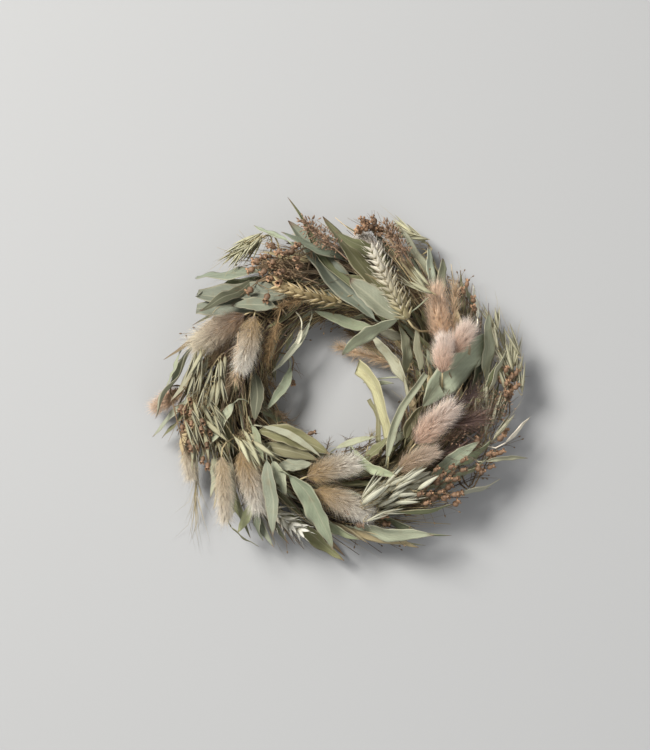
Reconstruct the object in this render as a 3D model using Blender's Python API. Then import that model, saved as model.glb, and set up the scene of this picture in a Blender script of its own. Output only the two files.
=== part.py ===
# Small wreath of dried plants, laid on its back.
#
# Twelve bunches are tied one after another round a ring of twisted vine. Each bunch starts on the ring and
# rises away from it in the direction of growth, so that it covers the roots of the next one, like a shingle.
# Sizes are in millimetres and put() turns them into metres. +X is right, +Y is up and +Z is the front of the
# hanging wreath. Ring angles run anticlockwise from +X, which is also the direction of growth.

import math
import random
from collections import namedtuple

import bmesh
import bpy
import numpy as np
from mathutils import Matrix
from mathutils.bvhtree import BVHTree

MM = 0.001
SEED = 20

# The ring of twisted vine, its three low knots, and the wire round it.
RING_RADIUS = 79.0
VINE_RADIUS = 5.2
VINE_LOBE = 0.9
VINE_STRANDS = 3
VINE_TURNS = 7
VINE_STATIONS = 48
VINE_SIDES = 8
RING_HEIGHT = 8.3
KNOT_ANGLES = (math.radians(30), math.radians(150), math.radians(270))
KNOT_REACH = math.radians(4)
WIRE_RADIUS = 0.45
WIRE_SIDES = 3
WIRE_TURNS = 1
WIRE_POINTS_PER_TURN = 6
WIRE_STARTS = 3.0
WIRE_PITCH = 3.4
WIRE_BACK = math.radians(-135)

# The bunches: where they start, and the five places for their stem bundles round the ring's section.
BUNCHES = 12
FIRST_BUNCH = math.radians(15)
BUNCH_STEP = 2 * math.pi / BUNCHES
BUNDLE_RADIUS = 2.5
BUNDLE_TIP = 1.1
BUNDLE_LENGTH = 46.0
BUNDLE_FLAT = 14.0
BUNDLE_RISE = 0.27
BUNDLE_SIDES = 4
SEAT_GAP = 0.4
SEAT = VINE_RADIUS + VINE_LOBE + SEAT_GAP + BUNDLE_RADIUS
SLOT_ANGLES = tuple(math.radians(degrees) for degrees in (10, 48, 86, 124, 162))
SLOTS = ("leaves_outer", "oats", "pods", "tails", "leaves_inner")
SLOTS_OF_BUNCH = {
    1: ("tails", "oats", "pods", "leaves_outer", "leaves_inner"),
    5: ("tails", "leaves_outer", "pods", "oats", "leaves_inner"),
}

# The dome that the front of the wreath makes over the ring.
CREST = 46.0
REACH_IN = 42.0
REACH_OUT = 56.0
RIM_SHARE = 0.22
FRONT_LEAN = 0.35

# The pieces themselves.
BLADE = 0.7
PETIOLE = 1.7
BLADE_TIP = 0.12
BLADE_UP = 0.06
BLADE_TWIST = 0.25
BLADE_STATIONS = (0.0, 0.2, 0.48, 0.78, 1.0)
NARROW_STATIONS = (0.0, 0.3, 0.7, 1.0)
NARROW = 9.0
HEAD_STATIONS = (0.0, 0.1, 0.25, 0.4, 0.55, 0.7, 0.85, 1.0)
HEAD_SIDES = 8
HEAD_END = 0.12
SPIKE_OUT = 0.32
SPIKE_ON = 0.09
STALK = 0.55
STALK_RISE = 0.5
STALK_BEND = 0.4
POD_CROWN = 0.5
OAT_POINT = 0.14
CLEAR = 0.35
LEAST_TURN = 0.3
LIFTS = tuple(1.5 * step for step in range(14))
ROOT_STEPS = (0.0, -5.0, 5.0, -10.0, 10.0, -15.0, 15.0, 20.0)
SPIRAL = 2.4
SPLAY = 0.35
SEED_ROOT = 0.6
SEED_STEPS = (0.0, -0.12, 0.12, -0.24, 0.24, -0.36, 0.36)
LOWEST = 1.2
LEAF_LEAD = 14.0
HEAD_LEAD = 16.0
HEAD_SIDE = 0.04
HEAD_UP = 0.06
EAR_ROOT = 12.0
OAT_LENGTH = 21.0
OAT_WIDTH = 4.4
POD_LENGTH = 5.4
POD_WIDTH = 4.8
STEM_WIDTH = 2.0
STEM_TURN = 10.0
STEM_ROOT = 24.0
STEM_TAPER = (1.0, 1.0, 0.9, 0.6)
STEM_LEAD = 8.0
STEM_LOW = 0.55
STEM_HIGH = 0.85

Piece = namedtuple(
    "Piece",
    "form bunch slot along base tip width side up roll twist name root",
    defaults=(0.0, 0.0, 0.0, 0.0, None, None),
)
Spray = namedtuple("Spray", "bunch middle along across count crest")
Fill = namedtuple("Fill", "slot count slants reaches lengths widths")


# Places on the wreath.


def unit(vector):
    return vector / np.linalg.norm(vector, axis=-1, keepdims=True)


def shell_point(angle, slant, reach):
    """The point at this reach from the ring's centre line. Slant 0 is outward, a right angle the front."""
    radius = RING_RADIUS + reach * np.cos(slant)
    height = RING_HEIGHT + reach * np.sin(slant)
    return np.stack([radius * np.cos(angle), radius * np.sin(angle), height], axis=-1)


def outward(points):
    """Unit vectors from the ring's centre line to the points, turned a little to the front."""
    flat = points * (1, 1, 0)
    line = unit(flat) * RING_RADIUS + (0, 0, RING_HEIGHT)
    return unit(unit(points - line) + (0, 0, FRONT_LEAN))


def on_dome(place, crest):
    """A place seen from the front, raised to a share (crest) of the dome's height over the ring."""
    radius = math.hypot(*place)
    reach = REACH_OUT if radius > RING_RADIUS else REACH_IN
    share = min(1.0, abs(radius - RING_RADIUS) / reach)
    rise = RIM_SHARE + (1 - RIM_SHARE) * math.sqrt(1 - share**2)
    return np.array([place[0], place[1], RING_HEIGHT + crest * CREST * rise])


def bunch_angle(bunch):
    return FIRST_BUNCH + bunch * BUNCH_STEP


def bundle_point(bunch, slot, along):
    """The middle of a stem bundle, flat on the ring where it is tied and rising after that."""
    order = SLOTS_OF_BUNCH.get(bunch, SLOTS)
    rise = BUNDLE_RISE * max(0.0, along - BUNDLE_FLAT)
    return shell_point(bunch_angle(bunch) + along / RING_RADIUS, SLOT_ANGLES[order.index(slot)], SEAT + rise)


def bunch_below(angle, least=6.0):
    """The last bunch that starts at least this far before a ring angle, and how far on from its start."""
    turns = (angle - FIRST_BUNCH) % (2 * math.pi) - least / RING_RADIUS
    bunch = int(turns // BUNCH_STEP) % BUNCHES
    along = ((angle - bunch_angle(bunch)) % (2 * math.pi)) * RING_RADIUS
    return bunch, along


def node_name(slot, bunch):
    return f"{slot}_{bunch + 1:02d}"


def node_of(piece):
    return piece.name or node_name(piece.slot, piece.bunch)


# Solids as rings of points.


def loft(rings, closed=False):
    """A closed solid through rings of points. The flat sides of a blade are split alike above and below."""
    stations, sides, _ = rings.shape
    spans = stations if closed else stations - 1
    i, j = (grid.ravel() for grid in np.meshgrid(np.arange(spans), np.arange(sides), indexing="ij"))
    after, beside = (i + 1) % stations, (j + 1) % sides
    a, b = i * sides + j, i * sides + beside
    c, d = after * sides + j, after * sides + beside
    swap = (j >= sides // 2)[:, None]
    first = np.where(swap, np.stack([a, b, c], 1), np.stack([a, b, d], 1))
    second = np.where(swap, np.stack([b, d, c], 1), np.stack([a, d, c], 1))
    faces = np.concatenate([first, second]).tolist()
    if not closed:
        last = (stations - 1) * sides
        faces += [list(range(sides))[::-1], [last + side for side in range(sides)]]
    return rings.reshape(-1, 3), faces


def frames(points, roll):
    """Two unit vectors across a path at each point: one along the blade's width, one out of its face.

    They are set at the tip, whose face looks away from the ring, and carried back to the root without a twist.
    """
    along = unit(np.gradient(points, axis=0))
    carried = [unit(np.cross(outward(points[-1:])[0], along[-1]))]
    for step in along[-2::-1]:
        carried.append(unit(carried[-1] - step * (carried[-1] @ step)))
    across = np.array(carried[::-1])
    face = np.cross(along, across)
    roll = np.broadcast_to(roll, len(points))[:, None]
    return across * np.cos(roll) + face * np.sin(roll), face * np.cos(roll) - across * np.sin(roll)


def tube(points, radii, sides, roll=0.0):
    across, face = frames(points, roll)
    turn = 2 * np.pi * np.arange(sides) / sides
    radii = np.broadcast_to(radii, len(points))[:, None, None]
    circle = across[:, None] * np.cos(turn)[:, None] + face[:, None] * np.sin(turn)[:, None]
    return loft(points[:, None] + radii * circle)


def curve(piece, shares):
    """Points of the arc from the piece's base to its tip, at shares of its length."""
    middle = (piece.base + piece.tip) / 2
    along = piece.tip - piece.base
    across = unit(np.cross(outward(middle), along))
    length = np.linalg.norm(along)
    middle = middle + length * (piece.side * across + piece.up * outward(middle))
    t = np.asarray(shares)[:, None]
    return (1 - t) ** 2 * piece.base + 2 * t * (1 - t) * middle + t**2 * piece.tip


def stalk(piece, shares):
    """Points of the stalk from the bundle to the piece's base. It leaves along the ring and meets the arc."""
    start, end = curve(piece, (0.0, 0.05))
    root = bundle_point(piece.bunch, piece.slot, piece.along) if piece.root is None else piece.root
    reach = np.linalg.norm(piece.base - root) * STALK_BEND
    growth = unit(np.cross((0, 0, 1), root * (1, 1, 0)))
    first = root + unit(growth + STALK_RISE * outward(root)) * reach
    second = piece.base - unit(end - start) * reach
    t = np.asarray(shares)[:, None]
    return (
        (1 - t) ** 3 * root
        + 3 * t * (1 - t) ** 2 * first
        + 3 * t**2 * (1 - t) * second
        + t**3 * piece.base
    )


def blade_solid(piece, grow=0.0):
    """A leaf: a thin strip whose width follows a willow leaf's outline, rooted by its petiole."""
    t = np.array(NARROW_STATIONS if piece.width < NARROW else BLADE_STATIONS)
    points = np.concatenate([stalk(piece, (0.0,)), curve(piece, t)])
    outline = np.maximum(BLADE_TIP, np.sin(np.pi * t**0.8) ** 0.8)
    width = np.concatenate([[PETIOLE], np.maximum(PETIOLE, piece.width * outline)]) / 2 + grow
    thick = np.concatenate([[PETIOLE] * 2, np.full(len(t) - 1, BLADE)]) / 2 + grow
    roll = np.concatenate([[piece.roll], piece.roll + piece.twist * t])
    across, face = frames(points, roll)
    corners = np.array([(1, 1), (-1, 1), (-1, -1), (1, -1)])
    across = across[:, None] * corners[:, :1] * width[:, None, None]
    face = face[:, None] * corners[:, 1:] * thick[:, None, None]
    return loft(points[:, None] + across + face)


def head_solid(piece, grow=0.0):
    """A soft head on its stalk: an oval raised into rows of points that lean to the tip."""
    t = np.array(HEAD_STATIONS)
    points = np.concatenate([stalk(piece, (0.0,)), curve(piece, t)])
    oval = piece.width / 2 * np.maximum(HEAD_END, np.sin(np.pi * t**0.8) ** 0.65)
    radii = np.concatenate([[STALK], oval]) + grow
    across, face = frames(points, 0.0)
    turn = 2 * np.pi * np.arange(HEAD_SIDES) / HEAD_SIDES
    circle = across[:, None] * np.cos(turn)[:, None] + face[:, None] * np.sin(turn)[:, None]
    row = np.arange(len(points))[:, None]
    spiked = ((row + np.arange(HEAD_SIDES)) % 2 == 0) & (row > 1) & (row < len(points) - 1)
    length = np.linalg.norm(piece.tip - piece.base)
    along = unit(np.gradient(points, axis=0))[:, None]
    out = radii[:, None, None] * (1 + SPIKE_OUT * spiked[..., None])
    return loft(points[:, None] + out * circle + along * length * SPIKE_ON * spiked[..., None])


def seed_solid(piece, grow=0.0):
    """A spindle on a thin stalk, as an oat has, or a capsule with a narrow crown."""
    points = np.concatenate([stalk(piece, (0.0, 1.0)), curve(piece, (0.45, 1.0))])
    end = piece.width / 2 * (POD_CROWN if piece.form == "pod" else OAT_POINT)
    radii = np.array([STALK, STALK, piece.width / 2, end]) + grow
    return tube(points, radii, 4)


def stem_solid(piece, grow=0.0):
    """The stem of a spray, which its seeds grow from."""
    points = np.concatenate([stalk(piece, (0.0,)), curve(piece, (0.0, 0.5, 1.0))])
    return tube(points, piece.width / 2 * np.array(STEM_TAPER) + grow, 3)


SOLIDS = {
    "leaf": blade_solid,
    "tail": head_solid,
    "ear": head_solid,
    "oat": seed_solid,
    "pod": seed_solid,
    "stem": stem_solid,
}

# How many points of each solid, from its root on, may lie inside other pieces of its own node.
ROOT_POINTS = {"leaf": 8, "tail": 16, "ear": 16, "oat": 4, "pod": 4, "stem": 3}


# The plan: every piece that is tied into the wreath.

# Leaves that show: where they come into sight and where the tip lies, right of and above the centre as seen
# from the front, the width, the heights at both ends as shares of the dome, the bow to the side and the roll.
LEAVES = (
    ((-54, 82), (-108, 79), 10.6, 0.60, 0.62, 0.08, 0.3),
    ((-35, 63), (-107, 66), 11.5, 0.74, 0.66, 0.04, 0.0),
    ((-40, 60), (-106, 54), 11.5, 0.68, 0.58, 0.02, -0.3),
    ((-46, 53), (-77, 54), 9.0, 0.90, 0.86, -0.10, 0.0),
    ((40, 44), (-13, 122), 17.0, 0.76, 0.58, -0.02, 0.25),
    ((38, 43), (-36, 129), 8.5, 0.50, 0.36, 0.10, 0.4),
    ((24, 47), (-38, 120), 15.5, 0.56, 0.46, 0.03, -0.2),
    ((40, 45), (6, 71), 13.5, 1.08, 1.08, 0.04, 0.1),
    ((40, 44), (1, 29), 12.0, 1.10, 0.80, -0.12, -0.2),
    ((24, 41), (-20, 53), 7.5, 0.55, 0.60, 0.04, 0.5),
    ((48, 0), (21, 38), 8.0, 0.62, 0.55, -0.10, 0.2),
    ((45, 9), (40, 42), 8.5, 0.50, 0.75, -0.30, 0.8),
    ((33, -51), (12, 15), 7.6, 0.70, 1.10, -0.28, 0.2),
    ((28, -50), (20, -9), 4.4, 0.50, 0.60, -0.15, 0.3),
    ((32, -51), (59, 6), 6.6, 0.85, 0.95, 0.12, 0.4),
    ((45, -39), (57, -16), 8.5, 0.75, 0.85, 0.16, 0.9),
    ((58, -15), (108, 38), 20.5, 0.50, 0.64, 0.05, 0.1),
    ((93, -6), (102, 25), 10.0, 0.38, 0.44, 0.10, 0.3),
    ((106, 24), (129, 12), 8.0, 0.45, 0.60, 0.10, 0.2),
    ((100, -11), (111, 17), 6.0, 0.60, 0.62, 0.05, 0.2),
    ((111, -40), (126, -22), 4.6, 0.70, 0.80, 0.10, 0.3),
    ((95, -52), (121, -48), 3.6, 0.62, 0.70, 0.12, 0.3),
    ((79, -56), (105, -39), 8.5, 0.72, 0.78, -0.12, 0.3),
    ((49, -75), (111, -44), 9.9, 0.60, 0.70, -0.14, 0.5),
    ((76, -78), (113, -66), 7.4, 0.66, 0.72, -0.12, 0.3),
    ((24, -88), (78, -106), 9.6, 0.66, 0.62, -0.16, 0.4),
    ((19, -102), (60, -113), 6.0, 0.45, 0.42, -0.10, 0.3),
    ((-36, -65), (-6, -114), 13.0, 0.98, 0.66, 0.16, 0.1),
    ((-44, -57), (-20, -56), 8.5, 0.76, 0.78, -0.08, 0.0),
    ((-58, -34), (-8, -50), 12.5, 0.92, 0.96, 0.12, 0.1),
    ((-56, -44), (-16, -54), 9.0, 0.80, 0.84, 0.06, 0.4),
    ((-48, -55), (-38, -78), 8.0, 0.86, 0.80, 0.06, 0.2),
    ((-52, -55), (-43, -97), 10.5, 0.78, 0.66, 0.05, 0.2),
    ((-62, -83), (-73, -104), 6.6, 0.62, 0.52, 0.05, 0.2),
    ((-60, -86), (-55, -110), 6.6, 0.62, 0.52, -0.10, 0.2),
    ((-78, -100), (-58, -114), 4.6, 0.40, 0.36, -0.05, 0.2),
    ((-86, -52), (-90, -88), 5.6, 0.66, 0.60, 0.10, 0.5),
    ((-106, -8), (-135, -36), 7.2, 0.60, 0.66, 0.04, 0.3),
    ((-106, -10), (-128, -37), 6.0, 0.50, 0.48, 0.10, 0.4),
    ((-75, -14), (-100, -55), 10.2, 0.78, 0.74, -0.02, 0.2),
    ((-61, 8), (-61, -27), 9.5, 0.60, 0.66, 0.08, 0.4),
    ((-36, 14), (-53, -18), 6.4, 0.62, 0.60, 0.12, 0.3),
    ((-90, 45), (-122, 18), 4.2, 0.50, 0.36, 0.20, 0.2),
    ((-112, 22), (-120, -2), 6.8, 0.45, 0.40, 0.20, 0.3),
    ((64, 66), (62, 99), 7.4, 0.55, 0.62, -0.05, 0.1),
    ((71, 64), (73, 91), 8.0, 0.50, 0.56, 0.04, 0.2),
    ((94, 57), (86, 74), 6.4, 0.50, 0.60, 0.04, 0.2),
    ((97, 47), (94, 72), 5.4, 0.60, 0.66, 0.05, 0.2),
    ((-38, 104), (-63, 117), 6.0, 0.55, 0.60, 0.10, 0.3),
)

# Soft heads: the bunch that holds them, base, tip, width, and the heights at both ends.
TAILS = (
    (3, (-68, 48), (-103, 27), 20, 0.80, 0.74),
    (3, (-61, 47), (-70, 9), 16, 0.86, 0.92),
    (5, (-112, -3), (-134, -15), 12, 0.45, 0.40),
    (5, (-108, -28), (-107, -66), 13, 0.40, 0.30),
    (6, (-70, -48), (-57, -88), 18, 0.88, 0.82),
    (6, (-80, -50), (-74, -88), 13, 0.72, 0.68),
    (7, (-24, -66), (11, -58), 17, 0.86, 0.90),
    (7, (-18, -75), (18, -91), 18, 0.80, 0.74),
    (9, (51, -43), (77, -18), 18, 1.00, 1.06),
    (9, (40, -62), (64, -48), 13, 0.60, 0.62),
    (11, (71, 28), (67, 68), 16, 0.72, 0.80),
    (11, (78, 21), (90, 39), 14, 0.84, 0.94),
    (1, (30, 90), (14, 109), 13, 0.36, 0.36),
)

# Ears: a name, the bunch, the free place on the ring, then as for the heads.
EARS = (
    ("ear_white", 0, "pods", (47, 44), (20, 93), 12.5, 1.00, 0.92),
    ("ear_golden", 2, "tails", (-3, 57), (-47, 69), 10.0, 0.90, 0.98),
    ("ear_husk", 7, "pods", (-53, -86), (-28, -103), 10.0, 0.70, 0.60),
)

# Sprays of oats and of pods: the middle of the cloud of seeds, its half sizes along and across the growth.
OAT_SPRAYS = (
    Spray(1, (48, 111), 8, 5, 2, 0.35),
    Spray(3, (-70, 99), 11, 6, 3, 0.60),
    Spray(4, (-92, 6), 17, 14, 7, 0.82),
    Spray(5, (-92, -38), 16, 14, 6, 0.78),
    Spray(6, (-62, -47), 8, 8, 3, 0.95),
    Spray(8, (36, -74), 22, 11, 9, 0.84),
    Spray(10, (103, -23), 10, 9, 3, 0.66),
    Spray(11, (118, 18), 17, 8, 6, 0.50),
)
POD_SPRAYS = (
    Spray(1, (20, 112), 9, 6, 6, 0.60),
    Spray(2, (-45, 86), 17, 15, 10, 1.00),
    Spray(3, (-62, 70), 12, 16, 3, 0.90),
    Spray(4, (-82, 24), 20, 14, 3, 0.60),
    Spray(5, (-104, -33), 22, 8, 9, 0.72),
    Spray(8, (20, -92), 24, 10, 4, 0.62),
    Spray(9, (72, -74), 13, 14, 8, 0.78),
    Spray(10, (104, -42), 22, 14, 6, 0.74),
    Spray(11, (118, 2), 12, 7, 6, 0.62),
)

# Leaves that fill each bunch at its outer and inner sides, drawn by a seeded rule.
FILL_TRIES = 10
FILLS = (
    Fill("leaves_outer", 2, (math.radians(-3), math.radians(62)), (34, 48), (42, 52), (7, 11)),
    Fill("leaves_inner", 2, (math.radians(118), math.radians(186)), (24, 33), (34, 50), (6, 9)),
)


def leaf_plan():
    """Every leaf that shows, on the bunch and the side of the ring that it comes from."""
    for base, tip, width, low, high, side, roll in LEAVES:
        slot = "leaves_outer" if math.hypot(*base) > RING_RADIUS + 6 else "leaves_inner"
        bunch, along = bunch_below(math.atan2(base[1], base[0]))
        yield Piece(
            "leaf", bunch, slot, along - LEAF_LEAD, on_dome(base, low), on_dome(tip, high),
            width, side, BLADE_UP, roll, BLADE_TWIST,
        )


def head_plan():
    """The soft heads and the ears, each with its stalk."""
    for bunch, base, tip, width, low, high in TAILS:
        along = ((math.atan2(base[1], base[0]) - bunch_angle(bunch)) % (2 * math.pi)) * RING_RADIUS
        start, end = on_dome(base, low), on_dome(tip, high)
        yield Piece("tail", bunch, "tails", along - HEAD_LEAD, start, end, width, HEAD_SIDE, HEAD_UP)
    for name, bunch, slot, base, tip, width, low, high in EARS:
        start, end = on_dome(base, low), on_dome(tip, high)
        yield Piece("ear", bunch, slot, EAR_ROOT, start, end, width, HEAD_SIDE, HEAD_UP, name=name)


def seed(draw, spray, slot, form, length, width, index):
    """One seed of a spray. Their places spiral out from the middle of the cloud, and all point along."""
    middle = np.array(spray.middle, float)
    across = unit(middle)
    growth = np.array([-across[1], across[0]])
    turn = SPIRAL * index + draw.uniform(-0.3, 0.3)
    spread = math.sqrt((index + 0.5) / spray.count)
    ahead, aside = spread * math.cos(turn), spread * math.sin(turn)
    place = middle + growth * spray.along * ahead + across * spray.across * aside
    half = (growth + across * (SPLAY * aside + draw.uniform(-0.25, 0.25))) * length / 2
    crest = spray.crest * draw.uniform(0.8, 1.1)
    wide = width * draw.uniform(0.85, 1.15)
    side, roll = draw.uniform(-0.05, 0.05), draw.uniform(0, 1.5)
    start, end = on_dome(place - half, crest), on_dome(place + half, crest)
    return Piece(form, spray.bunch, slot, SEED_ROOT + SPLAY * ahead, start, end, wide, side, 0.0, roll)


def spray_plan(draw, sprays, slot, form, length, width):
    """A stem through an oval cloud of seeds, and then the seeds, each on its own stalk from the stem."""
    for spray in sprays:
        middle = np.array(spray.middle, float)
        growth = np.array([-middle[1], middle[0]]) / math.hypot(*spray.middle)
        start = on_dome(middle - growth * (spray.along + STEM_LEAD), spray.crest * STEM_LOW)
        end = on_dome(middle + growth * spray.along / 2, spray.crest * STEM_HIGH)
        yield Piece("stem", spray.bunch, slot, STEM_ROOT, start, end, STEM_WIDTH)
        for index in range(spray.count):
            yield seed(draw, spray, slot, form, length, width, index)


def fill_leaf(draw, bunch, fill):
    """A leaf that leaves its bundle along the ring and spreads as it goes."""
    along = draw.uniform(6, BUNDLE_LENGTH - 14)
    start = bunch_angle(bunch) + along / RING_RADIUS
    slant = draw.uniform(*fill.slants)
    span = draw.uniform(*fill.lengths)
    out = draw.uniform(14, 19) + 0.1 * along
    base = shell_point(start + 0.25 * span / RING_RADIUS, slant, out)
    end = start + span / RING_RADIUS
    tip = shell_point(end, slant + draw.uniform(-0.2, 0.2), draw.uniform(*fill.reaches))
    width, side, rise = draw.uniform(*fill.widths), draw.uniform(-0.12, 0.12), draw.uniform(0.0, 0.12)
    roll, twist = draw.uniform(-0.5, 0.5), draw.uniform(-0.4, 0.4)
    return Piece("leaf", bunch, fill.slot, along, base, tip, width, side, rise, roll, twist)


def fill_plan(draw, bunch):
    """What fills one bunch: leaves at its outer and inner sides."""
    for fill in FILLS:
        for _ in range(fill.count):
            yield node_name(fill.slot, bunch), FILL_TRIES, lambda fill=fill: fill_leaf(draw, bunch, fill)


# Settling: each piece is laid on what is already there.


def sound(points, faces, tree):
    """Whether a lofted solid is neither wrung between two of its rings nor crosses itself."""
    rings = points.reshape(-1, len(faces[-1]), 3)
    spokes = unit(rings[:, 0] - rings.mean(axis=1))
    if (spokes[1:] * spokes[:-1]).sum(axis=1).min() < LEAST_TURN:
        return False
    return all(set(faces[one]) & set(faces[other]) for one, other in tree.overlap(tree))


class Pile:
    """The pieces laid so far. A new one lies clear of them and of itself, but for its root in its own node."""

    def __init__(self):
        self.nodes, self.trees, self.low, self.high = [], [], [], []

    def add(self, node, solid):
        points, faces = solid
        self.nodes.append(node)
        self.trees.append(BVHTree.FromPolygons(points.tolist(), faces))
        self.low.append(points.min(axis=0))
        self.high.append(points.max(axis=0))

    def near(self, points):
        low, high = np.array(self.low), np.array(self.high)
        return np.flatnonzero(((low < points.max(axis=0)) & (high > points.min(axis=0))).all(axis=1))

    def clear(self, piece):
        points, faces = SOLIDS[piece.form](piece, grow=CLEAR)
        if points[:, 2].min() < LOWEST:
            return False
        tree = BVHTree.FromPolygons(points.tolist(), faces)
        outer = [face for face in faces if min(face) >= ROOT_POINTS[piece.form]]
        own = BVHTree.FromPolygons(points.tolist(), outer)
        for index in self.near(points):
            probe = own if self.nodes[index] == node_of(piece) else tree
            if probe.overlap(self.trees[index]):
                return False
        return sound(points, faces, tree)


def lifted(piece, rise):
    """The piece, laid higher by a distance measured away from the ring."""
    return piece._replace(
        base=piece.base + 0.7 * rise * outward(piece.base),
        tip=piece.tip + rise * outward(piece.tip),
    )


def rooted(piece, stems):
    """The ways to root a piece: a seed along its spray's stem, others along a stem bundle of their bunch."""
    stem = stems.get(node_of(piece)) if piece.form in ("oat", "pod") else None
    if stem:
        for step in SEED_STEPS:
            share = min(max(piece.along + step, 0.05), 0.95)
            yield piece._replace(root=curve(stem, (share,))[0])
        return
    slots = ("leaves_inner", "leaves_outer") if piece.form == "leaf" else (piece.slot,)
    for slot in sorted(slots, key=lambda slot: slot != piece.slot):
        for step in ROOT_STEPS:
            along = min(max(piece.along + step, 5.0), BUNDLE_LENGTH - 4)
            yield piece._replace(slot=slot, along=along)


def settle(pile, piece, stems):
    """The lowest way to lay this piece clear of the others, or None."""
    for rise in LIFTS:
        for way in rooted(lifted(piece, rise), stems):
            if pile.clear(way):
                pile.add(node_of(way), SOLIDS[way.form](way))
                return way
    return None


def planned():
    """Every piece in the order of laying: its node, how often to try it, and what draws it for each try."""
    draw = random.Random(SEED)
    fixed = [*head_plan(), *leaf_plan()]
    fixed += spray_plan(draw, OAT_SPRAYS, "oats", "oat", OAT_LENGTH, OAT_WIDTH)
    fixed += spray_plan(draw, POD_SPRAYS, "pods", "pod", POD_LENGTH, POD_WIDTH)
    for piece in sorted(fixed, key=lambda piece: -(STEM_TURN if piece.form == "stem" else piece.width)):
        yield node_of(piece), 1, lambda piece=piece: piece
    for bunch in range(BUNCHES):
        yield from fill_plan(draw, bunch)


def bundles(nodes):
    """The bunch and the slot of each node's stem bundle."""
    places = {name: (bunch, slot) for name, bunch, slot, *_ in EARS}
    for bunch in range(BUNCHES):
        places.update({node_name(slot, bunch): (bunch, slot) for slot in SLOTS})
    return {node: places[node] for node in nodes}


def bundle_solid(bunch, slot):
    along = (0.0, BUNDLE_FLAT, (BUNDLE_FLAT + BUNDLE_LENGTH) / 2, BUNDLE_LENGTH)
    points = np.array([bundle_point(bunch, slot, step) for step in along])
    middle = (BUNDLE_RADIUS + BUNDLE_TIP) / 2
    return tube(points, np.array([BUNDLE_RADIUS, BUNDLE_RADIUS, middle, BUNDLE_TIP]), BUNDLE_SIDES)


def vine_solid():
    """The ring: a twisted, lobed section carried round, with three knots whose undersides are flat."""
    angle = 2 * np.pi * (np.arange(VINE_STATIONS) + 0.5)[:, None] / VINE_STATIONS
    slant = 2 * np.pi * np.arange(VINE_SIDES) / VINE_SIDES - np.pi / 2
    lobes = VINE_LOBE * np.cos(VINE_STRANDS * slant + VINE_TURNS * angle)
    rings = shell_point(angle, slant, VINE_RADIUS + lobes)
    under = np.abs(np.sin(slant) + 1) < 0.5
    for knot in KNOT_ANGLES:
        here = np.abs(angle - knot) < KNOT_REACH
        rings[..., 2] = np.where(here & under, 0.0, rings[..., 2])
    return loft(rings[:, ::-1], closed=True)


def wire_path():
    """The binding wire: a turn over the start of each bunch, then along the back of the ring to the next."""
    half = math.cos(math.pi / WIRE_POINTS_PER_TURN)
    near = (VINE_RADIUS + VINE_LOBE + SEAT_GAP + WIRE_RADIUS) / half
    far = (SEAT + BUNDLE_RADIUS + SEAT_GAP + WIRE_RADIUS) / half
    points = []
    for bunch in range(BUNCHES):
        for step in range(WIRE_TURNS * WIRE_POINTS_PER_TURN + 1):
            turn = step / WIRE_POINTS_PER_TURN
            slant = WIRE_BACK + 2 * math.pi * turn
            angle = bunch_angle(bunch) + (WIRE_STARTS + WIRE_PITCH * turn) / RING_RADIUS
            reach = far if math.sin(slant) > -0.5 else near
            points.append(shell_point(angle, slant, reach))
        rest = bunch_angle(bunch) + (WIRE_STARTS + WIRE_PITCH * WIRE_TURNS) / RING_RADIUS
        following = bunch_angle(bunch + 1) + WIRE_STARTS / RING_RADIUS
        points.append(shell_point((rest + following) / 2, WIRE_BACK, near))
    return np.array(points)


def wire_solid():
    points = wire_path()
    path = np.concatenate([points[-1:], points, points[:1]])
    along = unit(path[2:] - path[:-2])
    line = unit(points * (1, 1, 0)) * RING_RADIUS + (0, 0, RING_HEIGHT)
    out = points - line
    out = unit(out - along * (out * along).sum(axis=1, keepdims=True))
    beside = np.cross(along, out)
    turn = 2 * np.pi * np.arange(WIRE_SIDES) / WIRE_SIDES
    circle = out[:, None] * np.cos(turn)[:, None] + beside[:, None] * np.sin(turn)[:, None]
    return loft(points[:, None] + WIRE_RADIUS * circle, closed=True)


def lay_all():
    """The solids of every node, its stem bundle first. A piece that finds no clear place is left out."""
    plan = list(planned())
    places = bundles(sorted({node for node, _, _ in plan}))
    solids = {node: [bundle_solid(*place)] for node, place in places.items()}
    pile = Pile()
    pile.add("vine_ring", vine_solid())
    pile.add("binding_wire", wire_solid())
    for node, parts in solids.items():
        pile.add(node, parts[0])
    stems = {}
    for _, tries, again in plan:
        found = next(filter(None, (settle(pile, again(), stems) for _ in range(tries))), None)
        if found:
            solids[node_of(found)].append(SOLIDS[found.form](found))
        if found and found.form == "stem":
            stems[node_of(found)] = found
    return {node: parts for node, parts in solids.items() if len(parts) > 1}


# Objects and materials.

COLOURS = {
    "vine_ring": (0.105, 0.062, 0.034),
    "binding_wire": (0.09, 0.085, 0.07),
    "leaves": (0.205, 0.235, 0.165),
    "oats": (0.43, 0.42, 0.26),
    "pods": (0.16, 0.055, 0.028),
    "tails": (0.50, 0.34, 0.22),
    "ear": (0.60, 0.50, 0.33),
}


def material(kind):
    """One Principled material for each kind of piece, matt except on the wire."""
    found = bpy.data.materials.get(kind)
    if found:
        return found
    made = bpy.data.materials.new(kind)
    made.use_nodes = True
    shader = made.node_tree.nodes["Principled BSDF"]
    shader.inputs["Base Color"].default_value = (*COLOURS[kind], 1)
    shader.inputs["Roughness"].default_value = 0.4 if kind == "binding_wire" else 0.85
    shader.inputs["Metallic"].default_value = 1.0 if kind == "binding_wire" else 0.0
    return made


def put(name, solid, collection):
    """A solid as an object of the collection, in metres."""
    points, faces = solid
    mesh = bpy.data.meshes.new(name)
    mesh.from_pydata((points * MM).tolist(), [], faces)
    made = bpy.data.objects.new(name, mesh)
    collection.objects.link(made)
    return made


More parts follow.
